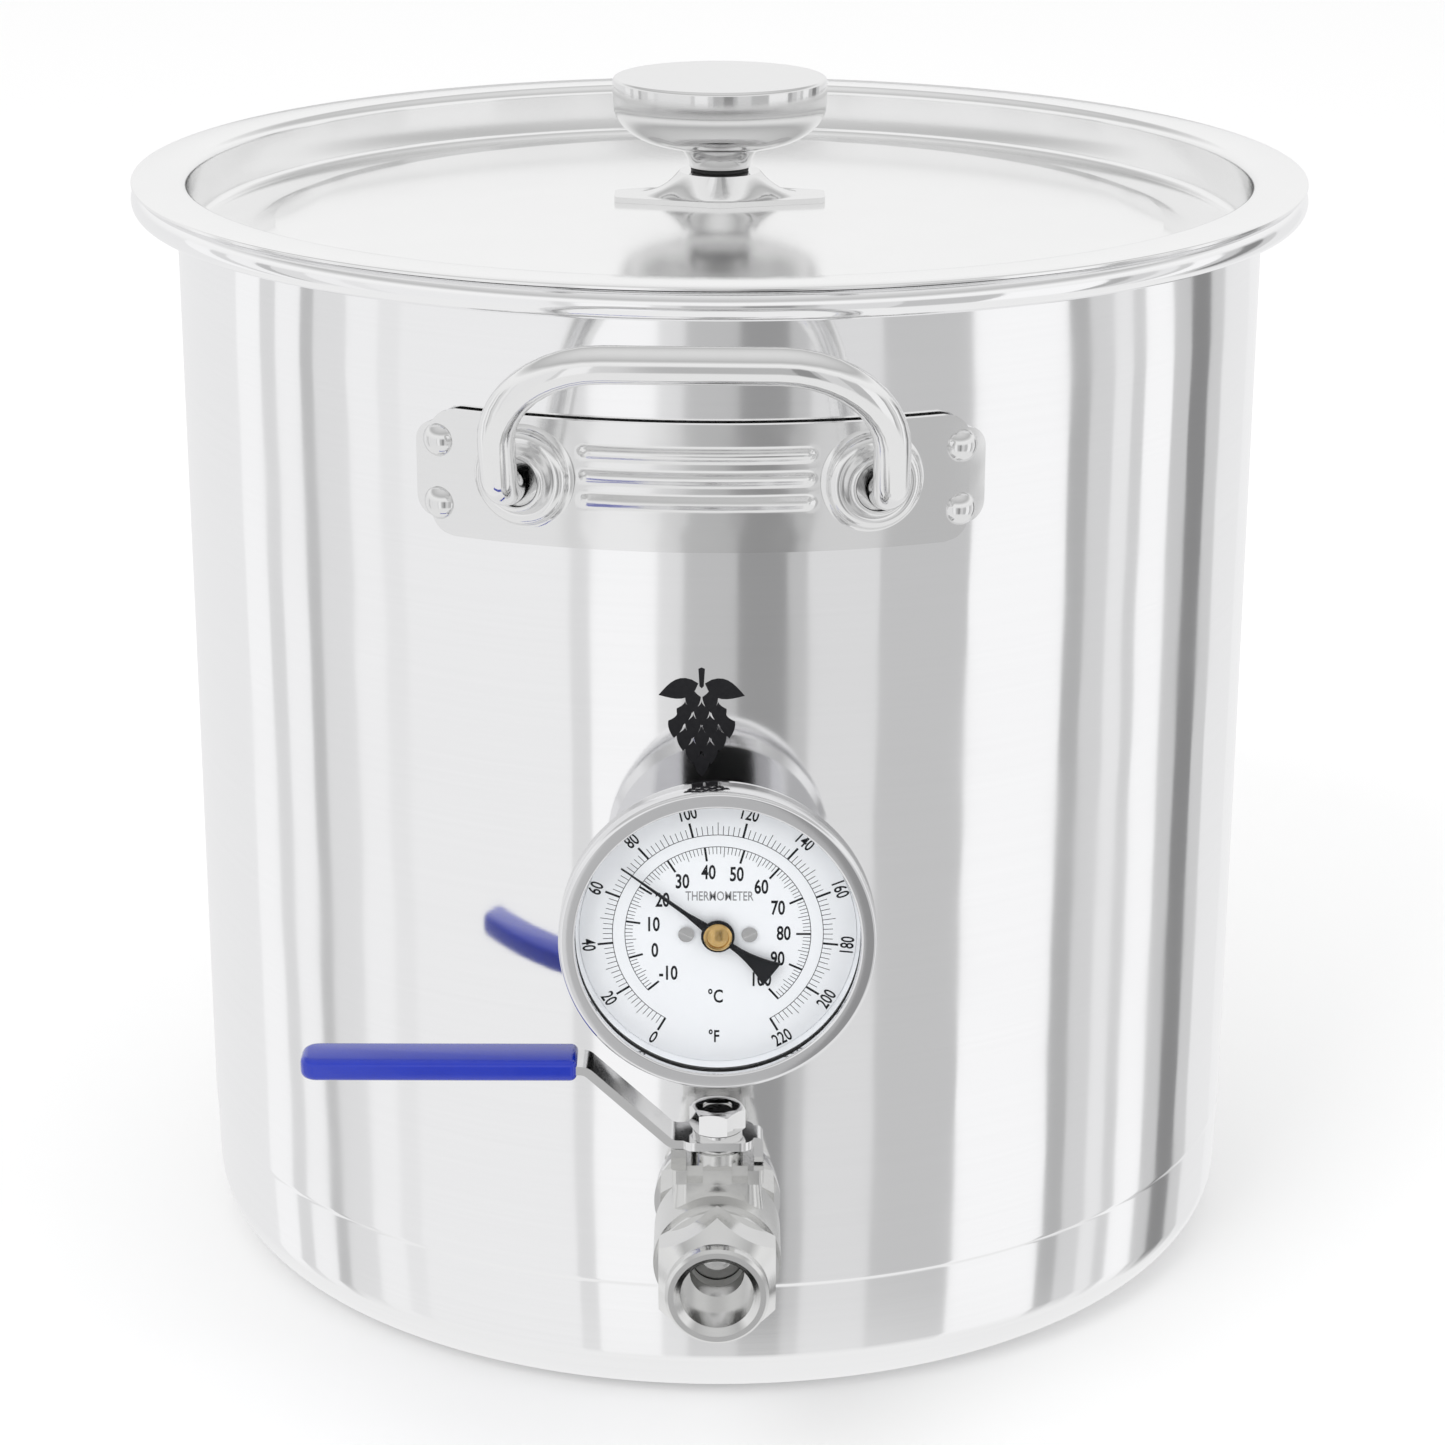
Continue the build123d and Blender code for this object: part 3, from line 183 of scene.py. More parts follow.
tree.links.new(seen.outputs[2], backdrop.inputs["Color"])
tree.links.new(backdrop.outputs[0], add_node(tree, "ShaderNodeOutputWorld").inputs["Surface"])
print("studio nodes:", len(tree.nodes))

# %% [markdown]
# ## Floor and lamps
# The floor is a plain pale sweep of paper. Steel doesn't see it, because the cards stand
# on the floor all round the pot and would hide it. Two big soft lamps light the vinyl and
# the dial and put a faint shadow under the base; no reflection shows them.

# %% Floor
floor_bm = bmesh.new()
bmesh.ops.create_grid(floor_bm, x_segments=1, y_segments=1, size=6.0)
floor_mesh = bpy.data.meshes.new("floor")
floor_bm.to_mesh(floor_mesh)
floor_bm.free()
floor = bpy.data.objects.new("floor", floor_mesh)
bpy.context.scene.collection.objects.link(floor)
floor.visible_glossy = False

paper = bpy.data.materials.new("pale_paper")
paper.use_nodes = True
paper_shader = paper.node_tree.nodes["Principled BSDF"]
paper_shader.inputs["Base Color"].default_value = (0.96, 0.96, 0.96, 1)
paper_shader.inputs["Roughness"].default_value = 0.9
paper_shader.inputs["Specular IOR Level"].default_value = 0.1
floor_mesh.materials.append(paper)


# %% Soft lamps
def soft_lamp(name, place, aim, size, power):
    """A square soft box at a place, facing the aim point."""
    data = bpy.data.lights.new(name, "AREA")
    data.shape = "SQUARE"
    data.size = size
    data.energy = power
    lamp = bpy.data.objects.new(name, data)
    lamp.location = place
    lamp.rotation_euler = (Vector(aim) - Vector(place)).to_track_quat("-Z", "Y").to_euler()
    lamp.visible_glossy = False
    bpy.context.scene.collection.objects.link(lamp)
    return lamp


pot_middle = (0, 0, cad_high[2] / 2)
key = soft_lamp("key_lamp", (-1.2, -1.6, 1.9), pot_middle, 1.4, 18.0)
fill = soft_lamp("fill_lamp", (1.7, -1.0, 1.3), pot_middle, 1.2, 7.0)
print("lamps:", key.name, fill.name)

# %% [markdown]
# ## Finishes
# Polished sheet is never a perfect mirror. Rolling and polishing leave a faint grain, and
# handling leaves patches that are a touch duller. One function makes every steel: a
# stretched noise gives the grain, its stretch says which way it runs, and a broad noise
# moves the roughness a little. Values that are the same all over go straight on the
# shader's sockets.


# %% Steel
def steel(name, colour, roughness, spread, grain_scale, grain_depth, waves=0.0, wave_scale=9.0):
    """A steel whose grain is noise stretched along the axes with the small scales."""
    made = bpy.data.materials.new(name)
    made.use_nodes = True
    tree = made.node_tree
    shader = tree.nodes["Principled BSDF"]
    shader.inputs["Metallic"].default_value = 1.0
    place = add_node(tree, "ShaderNodeTexCoord")
    stretch = add_node(tree, "ShaderNodeMapping")
    stretch.inputs["Scale"].default_value = grain_scale
    tree.links.new(place.outputs["Object"], stretch.inputs["Vector"])
    grain = add_node(tree, "ShaderNodeTexNoise", where={"Scale": 1.0, "Detail": 4.0, "Roughness": 0.6})
    tree.links.new(stretch.outputs[0], grain.inputs["Vector"])
    patches = add_node(tree, "ShaderNodeTexNoise", where={"Scale": 14.0, "Detail": 5.0, "Roughness": 0.55})
    tree.links.new(place.outputs["Object"], patches.inputs["Vector"])
    dull = add_node(tree, "ShaderNodeMapRange", where={
        "From Min": 0.3, "From Max": 0.7, "To Min": roughness - spread, "To Max": roughness + spread,
    })
    tree.links.new(patches.outputs["Fac"], dull.inputs["Value"])
    tree.links.new(dull.outputs[0], shader.inputs["Roughness"])
    tint = add_node(tree, "ShaderNodeMix", data_type="RGBA", blend_type="MIX")
    tint.inputs[6].default_value = (*[c * 0.965 for c in colour], 1)
    tint.inputs[7].default_value = (*colour, 1)
    tree.links.new(grain.outputs["Fac"], tint.inputs[0])
    tree.links.new(tint.outputs[2], shader.inputs["Base Color"])
    bump = add_node(tree, "ShaderNodeBump", where={"Strength": 0.35, "Distance": grain_depth})
    tree.links.new(grain.outputs["Fac"], bump.inputs["Height"])
    if waves:
        swell = add_node(tree, "ShaderNodeTexNoise", where={
            "Scale": wave_scale, "Detail": 2.0, "Roughness": 0.45,
        })
        tree.links.new(place.outputs["Object"], swell.inputs["Vector"])
        rolling = add_node(tree, "ShaderNodeBump", where={"Strength": 1.0, "Distance": waves})
        tree.links.new(swell.outputs["Fac"], rolling.inputs["Height"])
        tree.links.new(rolling.outputs[0], bump.inputs["Normal"])
    tree.links.new(bump.outputs[0], shader.inputs["Normal"])
    return made


wall_steel = steel("wall_steel", (0.94, 0.94, 0.945), 0.08, 0.03, (9, 9, 900), 0.00001, waves=0.0007)
lid_steel = steel("lid_steel", (0.93, 0.93, 0.93), 0.14, 0.015, (60, 60, 60), 0.000004)
rod_steel = steel("rod_steel", (0.86, 0.86, 0.86), 0.07, 0.02, (160, 160, 160), 0.00001)
stamped_steel = steel(
    "stamped_steel", (0.84, 0.84, 0.84), 0.12, 0.03, (70, 70, 1400), 0.00001, waves=0.0004, wave_scale=38.0)
bezel_steel = steel("bezel_steel", (0.84, 0.84, 0.85), 0.09, 0.02, (300, 300, 300), 0.00001)
cast_steel = steel("cast_steel", (0.72, 0.72, 0.71), 0.21, 0.05, (420, 420, 420), 0.00012)
machined_steel = steel("machined_steel", (0.76, 0.76, 0.755), 0.13, 0.04, (90, 2200, 90), 0.00003)
print("steels:", [m.name for m in bpy.data.materials if m.name.endswith("steel")])

# %% [markdown]
# The rest are paints, vinyl, glass, rubber and brass. Each has its own fine detail: the
# dipped vinyl a slow orange-peel, the enamel a faint mottling, the rubber a dusty grain.


# %% Paints, plastics and brass
def coated(name, colour, shade, roughness, noise_scale, bump_depth, coat=0.0, metallic=0.0):
    """A non-mirror finish: two close colours mixed by noise, and the same noise as relief."""
    made = bpy.data.materials.new(name)
    made.use_nodes = True
    tree = made.node_tree
    shader = tree.nodes["Principled BSDF"]
    shader.inputs["Metallic"].default_value = metallic
    shader.inputs["Coat Weight"].default_value = coat
    shader.inputs["Coat Roughness"].default_value = 0.05
    place = add_node(tree, "ShaderNodeTexCoord")
    mottle = add_node(tree, "ShaderNodeTexNoise", where={"Scale": noise_scale, "Detail": 3.0})
    tree.links.new(place.outputs["Object"], mottle.inputs["Vector"])
    mix = add_node(tree, "ShaderNodeMix", data_type="RGBA")
    mix.inputs[6].default_value = (*colour, 1)
    mix.inputs[7].default_value = (*shade, 1)
    tree.links.new(mottle.outputs["Fac"], mix.inputs[0])
    tree.links.new(mix.outputs[2], shader.inputs["Base Color"])
    rough = add_node(tree, "ShaderNodeMapRange", where={
        "To Min": roughness * 0.8, "To Max": roughness * 1.2,
    })
    tree.links.new(mottle.outputs["Fac"], rough.inputs["Value"])
    tree.links.new(rough.outputs[0], shader.inputs["Roughness"])
    bump = add_node(tree, "ShaderNodeBump", where={"Strength": 0.3, "Distance": bump_depth})
    tree.links.new(mottle.outputs["Fac"], bump.inputs["Height"])
    tree.links.new(bump.outputs[0], shader.inputs["Normal"])
    return made


blue_vinyl = coated("blue_vinyl", (0.0005, 0.016, 0.34), (0.001, 0.022, 0.40), 0.20, 180, 0.00010, coat=0.5)
dial_enamel = coated("dial_enamel", (0.88, 0.90, 0.93), (0.85, 0.87, 0.90), 0.35, 500, 0.00002)
print_black = coated("print_black", (0.012, 0.012, 0.014), (0.022, 0.022, 0.024), 0.45, 900, 0.00001)
needle_black = coated("needle_black", (0.010, 0.010, 0.011), (0.020, 0.020, 0.022), 0.3, 700, 0.00001)
for matt_black in (print_black, needle_black):
    matt_black.node_tree.nodes["Principled BSDF"].inputs["Specular IOR Level"].default_value = 0.08
brass = coated("brass", (0.66, 0.44, 0.17), (0.76, 0.52, 0.22), 0.14, 900, 0.00002, metallic=1.0)
silicone = coated("silicone", (0.70, 0.70, 0.67), (0.62, 0.62, 0.60), 0.5, 300, 0.00004)
black_rubber = coated("black_rubber", (0.015, 0.015, 0.015), (0.035, 0.035, 0.035), 0.6, 1200, 0.00006)
ptfe = coated("ptfe", (0.80, 0.80, 0.78), (0.72, 0.72, 0.70), 0.5, 600, 0.00002)
print("coated finishes made")

# %% Lens glass
lens_glass = bpy.data.materials.new("lens_glass")
lens_glass.use_nodes = True
lens_tree = lens_glass.node_tree
lens_shader = lens_tree.nodes["Principled BSDF"]
lens_shader.inputs["Base Color"].default_value = (0.05, 0.06, 0.07, 1)
lens_shader.inputs["Alpha"].default_value = 0.04
lens_place = add_node(lens_tree, "ShaderNodeTexCoord")
lens_smears = add_node(lens_tree, "ShaderNodeTexNoise", where={"Scale": 60.0, "Detail": 6.0})
lens_rough = add_node(lens_tree, "ShaderNodeMapRange", where={
    "From Min": 0.45, "From Max": 0.8, "To Min": 0.01, "To Max": 0.05,
})
lens_tree.links.new(lens_place.outputs["Object"], lens_smears.inputs["Vector"])
lens_tree.links.new(lens_smears.outputs["Fac"], lens_rough.inputs["Value"])
lens_tree.links.new(lens_rough.outputs[0], lens_shader.inputs["Roughness"])
print("lens glass made")

# %% [markdown]
# ## Turning on a lathe
# Most of a kettle is turned or spun, so one helper does the lathe work: it takes an
# outline as pairs of radius and distance along the axis, and spins it. A second helper
# hands a finished mesh to the frame. Edges sharper than a limit stay crisp, and the rest
# shade smooth.


# %% Lathe helpers
def arc(centre, radius, start, stop, steps=8):
    """Points along an arc, angles in degrees, in an outline's own two coordinates."""
    turns = [radians(start + (stop - start) * i / steps) for i in range(steps + 1)]
    return [(centre[0] + radius * cos(t), centre[1] + radius * sin(t)) for t in turns]


def turned(outline, steps=128, centre=(0, 0, 0), facing="up"):
    """Spin an outline of (radius, along) pairs in millimetres about an axis through a centre."""
    bm = bmesh.new()
    rim = [bm.verts.new((radius * MM, 0, along * MM)) for radius, along in outline]
    edges = [bm.edges.new(pair) for pair in zip(rim, rim[1:] + rim[:1])]
    bmesh.ops.spin(
        bm, geom=rim + edges, cent=(0, 0, 0), axis=(0, 0, 1), angle=FULL_TURN, steps=steps, use_merge=True
    )
    bmesh.ops.remove_doubles(bm, verts=bm.verts[:], dist=1e-7)
    bmesh.ops.dissolve_degenerate(bm, dist=1e-8, edges=bm.edges[:])
    loose = [e for e in bm.edges if not e.link_faces]
    bmesh.ops.delete(bm, geom=loose, context="EDGES")
    bmesh.ops.recalc_face_normals(bm, faces=bm.faces[:])
    if facing == "front":
        bmesh.ops.rotate(bm, verts=bm.verts[:], cent=(0, 0, 0), matrix=Matrix.Rotation(pi / 2, 3, "X"))
    bmesh.ops.translate(bm, verts=bm.verts[:], vec=Vector(centre))
    return bm


def crease(bm, limit):
    """Shade smooth, with edges that turn more than the limit, in degrees, kept crisp."""
    for face in bm.faces:
        face.smooth = True
    for edge in bm.edges:
        edge.smooth = len(edge.link_faces) != 2 or edge.calc_face_angle(0) < radians(limit)


def piece(bm, name, body, finish, replaces=(), limit=32):
    """Turn a finished bmesh into an object that rides on a body in one finish."""
    crease(bm, limit)
    mesh = bpy.data.meshes.new(name)
    bm.to_mesh(mesh)
    bm.free()
    mesh.materials.append(finish)
    made = bpy.data.objects.new(name, mesh)
    bpy.context.scene.collection.objects.link(made)
    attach(made, body)
    if replaces:
        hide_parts(*replaces)
    print(name, "faces:", len(mesh.polygons))
    return made


def merged(parts):
    """One bmesh from several, which are used up."""
    whole = bmesh.new()
    for part in parts:
        mesh = bpy.data.meshes.new("part")
        part.to_mesh(mesh)
        part.free()
        whole.from_mesh(mesh)
        bpy.data.meshes.remove(mesh)
    return whole


def tidy_copy(node, name, finish, limit=28):
    """A CAD node's own shape with its loose triangles joined, so it can shade smoothly."""
    bm = bmesh.new()
    bm.from_mesh(frame["nodes"][node].data)
    bmesh.ops.remove_doubles(bm, verts=bm.verts[:], dist=2e-6)
    bmesh.ops.dissolve_degenerate(bm, dist=1e-7, edges=bm.edges[:])
    body = next(b for b, names in frame["record"]["behaviour"]["bodies"].items() if node in names)
    return piece(bm, name, body, finish, replaces=(node,), limit=limit)

# %% [markdown]
# ## Pot
# The pot is one deep-drawn sheet: flat base, a round corner, a straight wall and a rim
# rolled outward over itself. Turning the sheet's whole section, inside and out, gives a
# true wall thickness and keeps every highlight unbroken round the cylinder. The last
# stroke of the press leaves a line a hand's breadth above the base, and below it the wall
# draws in by under a millimetre, which is enough to bend the reflections there.

# %% Pot shell
pot_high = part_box("pot_shell")[1]
RIM_RADIUS = pot_high.x / MM
POT_HEIGHT = pot_high.z / MM
ROLL_REACH = 13.5
POT_RADIUS = RIM_RADIUS - ROLL_REACH
WALL = 1.0
INNER_RADIUS = POT_RADIUS - WALL
CORNER = 16.0
ROLL_HEIGHT = 8.6
ROLL = ROLL_HEIGHT / 2
ROLL_GAP = 0.4
DRAW_LINE = 39.0
DRAW_TAPER = 0.7


def pot_outline():
    """The sheet's section: outside going up, round the roll, and back down the inside."""
    roll_middle = POT_HEIGHT - ROLL
    outer_turn, inner_turn = RIM_RADIUS - ROLL, POT_RADIUS - WALL + ROLL
    return (
        [(0, 0)]
        + arc((POT_RADIUS - DRAW_TAPER - CORNER, CORNER), CORNER, -90, 0, 14)
        + [(POT_RADIUS - DRAW_TAPER * share, DRAW_LINE - lower) for share, lower in (
            (0.5, 8.0), (0.16, 1.2), (0.14, 0.6), (0.03, 0.2), (0.0, 0.0), (0.0, -0.6))]
        + [(POT_RADIUS, POT_HEIGHT * share) for share in (0.3, 0.6, 0.9)]
        + arc((POT_RADIUS + ROLL - WALL, roll_middle), ROLL - WALL, 180, 90, 6)
        + arc((outer_turn, roll_middle), ROLL - WALL, 90, -90, 10)
        + [(POT_RADIUS + ROLL_GAP, POT_HEIGHT - ROLL_HEIGHT + rise) for rise in (WALL, 0)]
        + arc((outer_turn, roll_middle), ROLL, -90, 90, 16)
        + arc((inner_turn, roll_middle), ROLL, 90, 180, 8)
        + [(INNER_RADIUS, POT_HEIGHT * share) for share in (0.9, 0.6, 0.3)]
        + arc((POT_RADIUS - CORNER, CORNER), CORNER - WALL, 0, -90, 14)
        + [(0, WALL)]
    )


piece(
    turned(pot_outline(), steps=256), "pot", "kettle", wall_steel, ["pot_shell"], limit=50
)

# %% [markdown]
# Inside, the sheet keeps the satin grain it was rolled with. A mirror that faces only
# itself would go black, so the inside gets a skin of its own, a few hundredths of a
# millimetre thick, in a steel that also scatters light.

# %% Satin inside
SKIN_NEAR, SKIN_FAR = 0.02, 0.05
SKIN_TOP = POT_HEIGHT - ROLL_HEIGHT - 2.0


def inside_line(lift):
    """The inside of the sheet from the middle of the base up the wall, lifted off it a little."""
    corner_radius = CORNER - WALL - lift
    return (
        [(0, WALL + lift)]
        + arc((POT_RADIUS - CORNER, CORNER), corner_radius, -90, 0, 14)
        + [(INNER_RADIUS - lift, SKIN_TOP)]
    )


inside_steel = steel("inside_steel", (0.80, 0.80, 0.80), 0.34, 0.04, (60, 60, 900), 0.00001)
inside_steel.node_tree.nodes["Principled BSDF"].inputs["Metallic"].default_value = 0.55
skin_outline = inside_line(SKIN_FAR) + list(reversed(inside_line(SKIN_NEAR)))
piece(turned(skin_outline, steps=192), "satin_inside", "kettle", inside_steel, limit=50)

# %% [markdown]
# ## Lid
# The lid is thin sheet too. Its flange lies on the rolled rim, a plug wall drops inside
# the pot and keeps it central, a shallow trough runs round, and the middle is a very
# flat dome that sheds drips.

# %% Lid shell
lid_low, lid_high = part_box("lid_shell")
LID_EDGE = lid_high.x / MM
FLANGE_TOP = lid_high.z / MM
LID_SHEET = 0.9
PLUG_CLEARANCE, TROUGH_WIDTH, CREASE_WIDTH, CREASE_RISE = 1.6, 18.0, 8.0, 4.0
EDGE_BEND = 0.35
PLUG_RADIUS = INNER_RADIUS - PLUG_CLEARANCE
PLUG_BEND = 3.0
TROUGH = lid_low.z / MM + LID_SHEET
CREASE_FOOT = PLUG_RADIUS - LID_SHEET - TROUGH_WIDTH
CREASE_RADIUS = CREASE_FOOT - CREASE_WIDTH
CREASE_HEIGHT = TROUGH + CREASE_RISE
DOME_RISE = 3.5
DOME_BALL = (CREASE_RADIUS**2 + DOME_RISE**2) / (2 * DOME_RISE)
DOME_TOP = CREASE_HEIGHT + DOME_RISE


def dome_points(thickness):
    """The middle of the lid as an arc from the crease in to the axis, dropped by a thickness."""
    reach = degrees(asin(CREASE_RADIUS / DOME_BALL))
    return arc((0, DOME_TOP - DOME_BALL - thickness), DOME_BALL, 90 - reach, 90, 12)


def lid_outline():
    """Top surface from the edge to the middle, then the underside back out."""
    inner_wall = PLUG_RADIUS - LID_SHEET
    top = (
        [(LID_EDGE, FLANGE_TOP - LID_SHEET * 0.4)]
        + arc((LID_EDGE - EDGE_BEND, FLANGE_TOP - EDGE_BEND), EDGE_BEND, 0, 90, 3)
        + arc((inner_wall + PLUG_BEND, FLANGE_TOP - PLUG_BEND), PLUG_BEND, 90, 180, 8)
        + arc((inner_wall - PLUG_BEND, TROUGH + PLUG_BEND), PLUG_BEND, 0, -90, 8)
        + [(CREASE_FOOT + 4.0, TROUGH), (CREASE_FOOT + 1.5, TROUGH + 0.15), (CREASE_FOOT - 1.0, TROUGH + 0.7)]
        + [(CREASE_RADIUS + 2.0, CREASE_HEIGHT - 1.0), (CREASE_RADIUS + 0.8, CREASE_HEIGHT - 0.45)]
        + dome_points(0)
    )
    under = (
        list(reversed(dome_points(LID_SHEET)))
        + [(CREASE_FOOT, TROUGH - LID_SHEET), (CREASE_FOOT + 4.0, TROUGH - LID_SHEET)]
        + arc((inner_wall - PLUG_BEND, TROUGH + PLUG_BEND), PLUG_BEND + LID_SHEET, -90, 0, 8)
        + arc((inner_wall + PLUG_BEND, FLANGE_TOP - PLUG_BEND), PLUG_BEND - LID_SHEET, 180, 90, 6)
        + [(LID_EDGE, FLANGE_TOP - LID_SHEET)]
    )
    return top + under


piece(
    turned(lid_outline(), steps=256), "lid", "lid", lid_steel, ["lid_shell"], limit=40
)

# %% [markdown]
# ## Knob
# The knob is a turned mushroom: a flat-topped disc for the palm, a hollow under it for
# the fingertips, and a narrow neck that stands on a black washer.

# %% Knob
knob_low, knob_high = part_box("knob")
KNOB_TOP, KNOB_BASE = knob_high.z / MM, knob_low.z / MM
KNOB_RADIUS = knob_high.x / MM
WAIST = 9.4
NECK = 12.9
NECK_HEIGHT = 6.7
EDGE_HEIGHT = 8.0
EDGE_ROUND = 1.2


def knob_outline():
    """From the middle of the top, over the edge, round the bowl and down the hollow neck."""
    edge, neck = KNOB_TOP - EDGE_HEIGHT, KNOB_BASE + NECK_HEIGHT
    bowl = [
        (NECK + (KNOB_RADIUS - NECK) * cos(radians(t)), edge - (edge - neck) * sin(radians(t)))
        for t in range(0, 91, 10)
    ]
    trumpet = [
        (WAIST + (NECK - WAIST) * share**2, KNOB_BASE + NECK_HEIGHT * share)
        for share in (0.97, 0.85, 0.65, 0.4, 0.15, 0.03)
    ]
    return (
        [(0, KNOB_TOP), (KNOB_RADIUS * 0.5, KNOB_TOP)]
        + arc((KNOB_RADIUS - EDGE_ROUND, KNOB_TOP - EDGE_ROUND), EDGE_ROUND, 90, 0, 6)
        + bowl + trumpet
        + [(WAIST - 0.2, KNOB_BASE), (0, KNOB_BASE)]
    )


knob_steel = steel("knob_steel", (0.82, 0.82, 0.82), 0.08, 0.02, (220, 220, 220), 0.000005)
knob = piece(turned(knob_outline(), steps=128), "lid_knob", "lid", knob_steel, ["knob"])
smooth_knob = knob.modifiers.new("round", "SUBSURF")
smooth_knob.levels = smooth_knob.render_levels = 1

# %% [markdown]
# The washer is a flat ring of black rubber with its edges broken, pinched between the
# knob and its foot.

# %% Black washer
washer_low, washer_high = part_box("knob_washer")
WASHER_FOOT, WASHER_TOP, WASHER_RADIUS = washer_low.z / MM, washer_high.z / MM, washer_high.x / MM
WASHER_HOLE, WASHER_EDGE = 3.1, 0.3
washer_outline = [
    (WASHER_HOLE, WASHER_FOOT), (WASHER_RADIUS - WASHER_EDGE, WASHER_FOOT),
    (WASHER_RADIUS, WASHER_FOOT + WASHER_EDGE), (WASHER_RADIUS, WASHER_TOP - WASHER_EDGE),
    (WASHER_RADIUS - WASHER_EDGE, WASHER_TOP), (WASHER_HOLE, WASHER_TOP),
]
piece(turned(washer_outline, steps=64), "black_washer", "lid", black_rubber, ["knob_washer"])

# %% [markdown]
# The foot under the knob is a pressed plate, long and six-sided, whose middle flares up
# into the neck. The CAD solid already has that shape, so its own mesh is joined up and
# dressed in polished steel.

# %% Knob foot
tidy_copy("knob_foot", "foot", knob_steel, limit=24)

# %% [markdown]
# ## Handles
# Each handle is a bent rod welded into a pressed bracket, and both handles are the same,
# so one function makes a handle at any angle round the pot. The rod is a curve with a
# round section; the bracket starts as a flat grid, gets its beads pressed, and is then
# wrapped round the pot.

# %% Sizes of a handle
HANDLE_TURN = -2.0
ELBOW_ROUND, BAR_ROUND = 12.0, 29.0
HANDLE_HEIGHT = 279.5
BOSS_TURN = 16.2
ROD_RADIUS = 5.0
ROD_SPAN = 103.0
BAR_HEIGHT = 320.0
BAR_REACH = 38.0
ELBOW_REACH = 21.0
STRAP_THICK = 1.5
PLATE_THICK = 1.8
STRAP_FACE = POT_RADIUS + STRAP_THICK
PLATE_FACE = STRAP_FACE + PLATE_THICK
PLATE_MIDDLE = HANDLE_HEIGHT - 1.4
PLATE_WIDTH, PLATE_HEIGHT = 150.0, 35.4
PLATE_CORNER = 7.0
STRAP_WIDTH, STRAP_HEIGHT, STRAP_CORNER = 160.0, 27.0, 6.0
RIVET_TURN, RIVET_STEP = 25.0, 17.6
HEAD_RADIUS, HEAD_HEIGHT, TAIL_RADIUS, TAIL_HEIGHT = 4.6, 2.8, 4.2, 1.4


def around(turn, reach, height):
    """A point beside the pot: degrees round from the front, distance from the axis, height."""
    return Vector((reach * sin(radians(turn)), -reach * cos(radians(turn)), height)) * MM


def side_frame(turn, reach, height):
    """A matrix that stands a piece turned about +Z straight out of the pot's side."""
    facing = around(turn, 1, 0).normalized().to_track_quat("Z", "Y").to_matrix().to_4x4()
    return Matrix.Translation(around(turn, reach, height)) @ facing


# %% Rod
def rounded_route(corners, radii, steps=10):
    """A path of straight runs whose corners are rounded, as points."""
    points = [corners[0]]
    for before, corner, after, radius in zip(corners, corners[1:], corners[2:], radii):
        back, onward = (before - corner).normalized(), (after - corner).normalized()
        half = back.angle(onward) / 2
        start = corner + back * radius / tan(half)
        stop = corner + onward * radius / tan(half)
        centre = corner + (back + onward).normalized() * radius / sin(half)
        spread = (start - centre).angle(stop - centre)
        for i in range(steps + 1):
            share = i / steps
            points.append(centre + (
                (start - centre) * sin((1 - share) * spread) + (stop - centre) * sin(share * spread)
            ) / sin(spread))
    return points + [corners[-1]]


def rod_mesh(route, radius, sides=32):
    """A round bar swept along a route, its section carried along and turned at each point."""
    bm = bmesh.new()
    heading = (route[1] - route[0]).normalized()
    bmesh.ops.create_circle(bm, cap_ends=True, radius=radius, segments=sides)
    bmesh.ops.transform(bm, verts=bm.verts[:], matrix=(
        Matrix.Translation(route[0]) @ heading.to_track_quat("Z", "Y").to_matrix().to_4x4()
    ))
    end = bm.faces[:]
    for here, ahead, after in zip(route, route[1:], route[2:] + [route[-1] * 2 - route[-2]]):
        grown = bmesh.ops.extrude_face_region(bm, geom=end)["geom"]
        ring = [g for g in grown if isinstance(g, bmesh.types.BMVert)]
        old_end = end
        end = [g for g in grown if isinstance(g, bmesh.types.BMFace)]
        if here is not route[0]:
            bmesh.ops.delete(bm, geom=old_end, context="FACES_ONLY")
        run, turn_to = (ahead - here).normalized(), (after - ahead).normalized()
        bisector = (run + turn_to).normalized()
        for vert in ring:
            travel = (ahead - vert.co).dot(bisector) / run.dot(bisector)
            vert.co += run * travel
    bmesh.ops.recalc_face_normals(bm, faces=bm.faces[:])
    return bm


def handle_rod(turn, end):
    """The rod: out of one boss, up and outward, across, and down into the other boss."""
    corners = []
    for side in (-1, 1):
        limb = [
            around(turn + side * BOSS_TURN, STRAP_FACE, HANDLE_HEIGHT),
            around(turn + side * BOSS_TURN, POT_RADIUS + ELBOW_REACH, HANDLE_HEIGHT),
            Matrix.Rotation(radians(turn), 3, "Z") @ (
                Vector((side * ROD_SPAN / 2, -(POT_RADIUS + BAR_REACH), BAR_HEIGHT)) * MM
            ),
        ]
        corners += limb if side < 0 else limb[::-1]
    rounds = [round_mm * MM for round_mm in (ELBOW_ROUND, BAR_ROUND, BAR_ROUND, ELBOW_ROUND)]
    route = rounded_route(corners, rounds)
    return piece(
        rod_mesh(route, ROD_RADIUS * MM), f"rod_{end}", "kettle", rod_steel,
        [f"handle_rod_{end}"], limit=50,
    )


for handle_end, handle_turn in (("front", HANDLE_TURN), ("rear", HANDLE_TURN + 180)):
    handle_rod(handle_turn, handle_end)


# %% Bracket and strap
BEAD_TURN, BEAD_STEP, BEAD_LIFT, BEAD_REACH, BEAD_RISE = 11.0, 6.6, 2.6, 2.4, 1.3


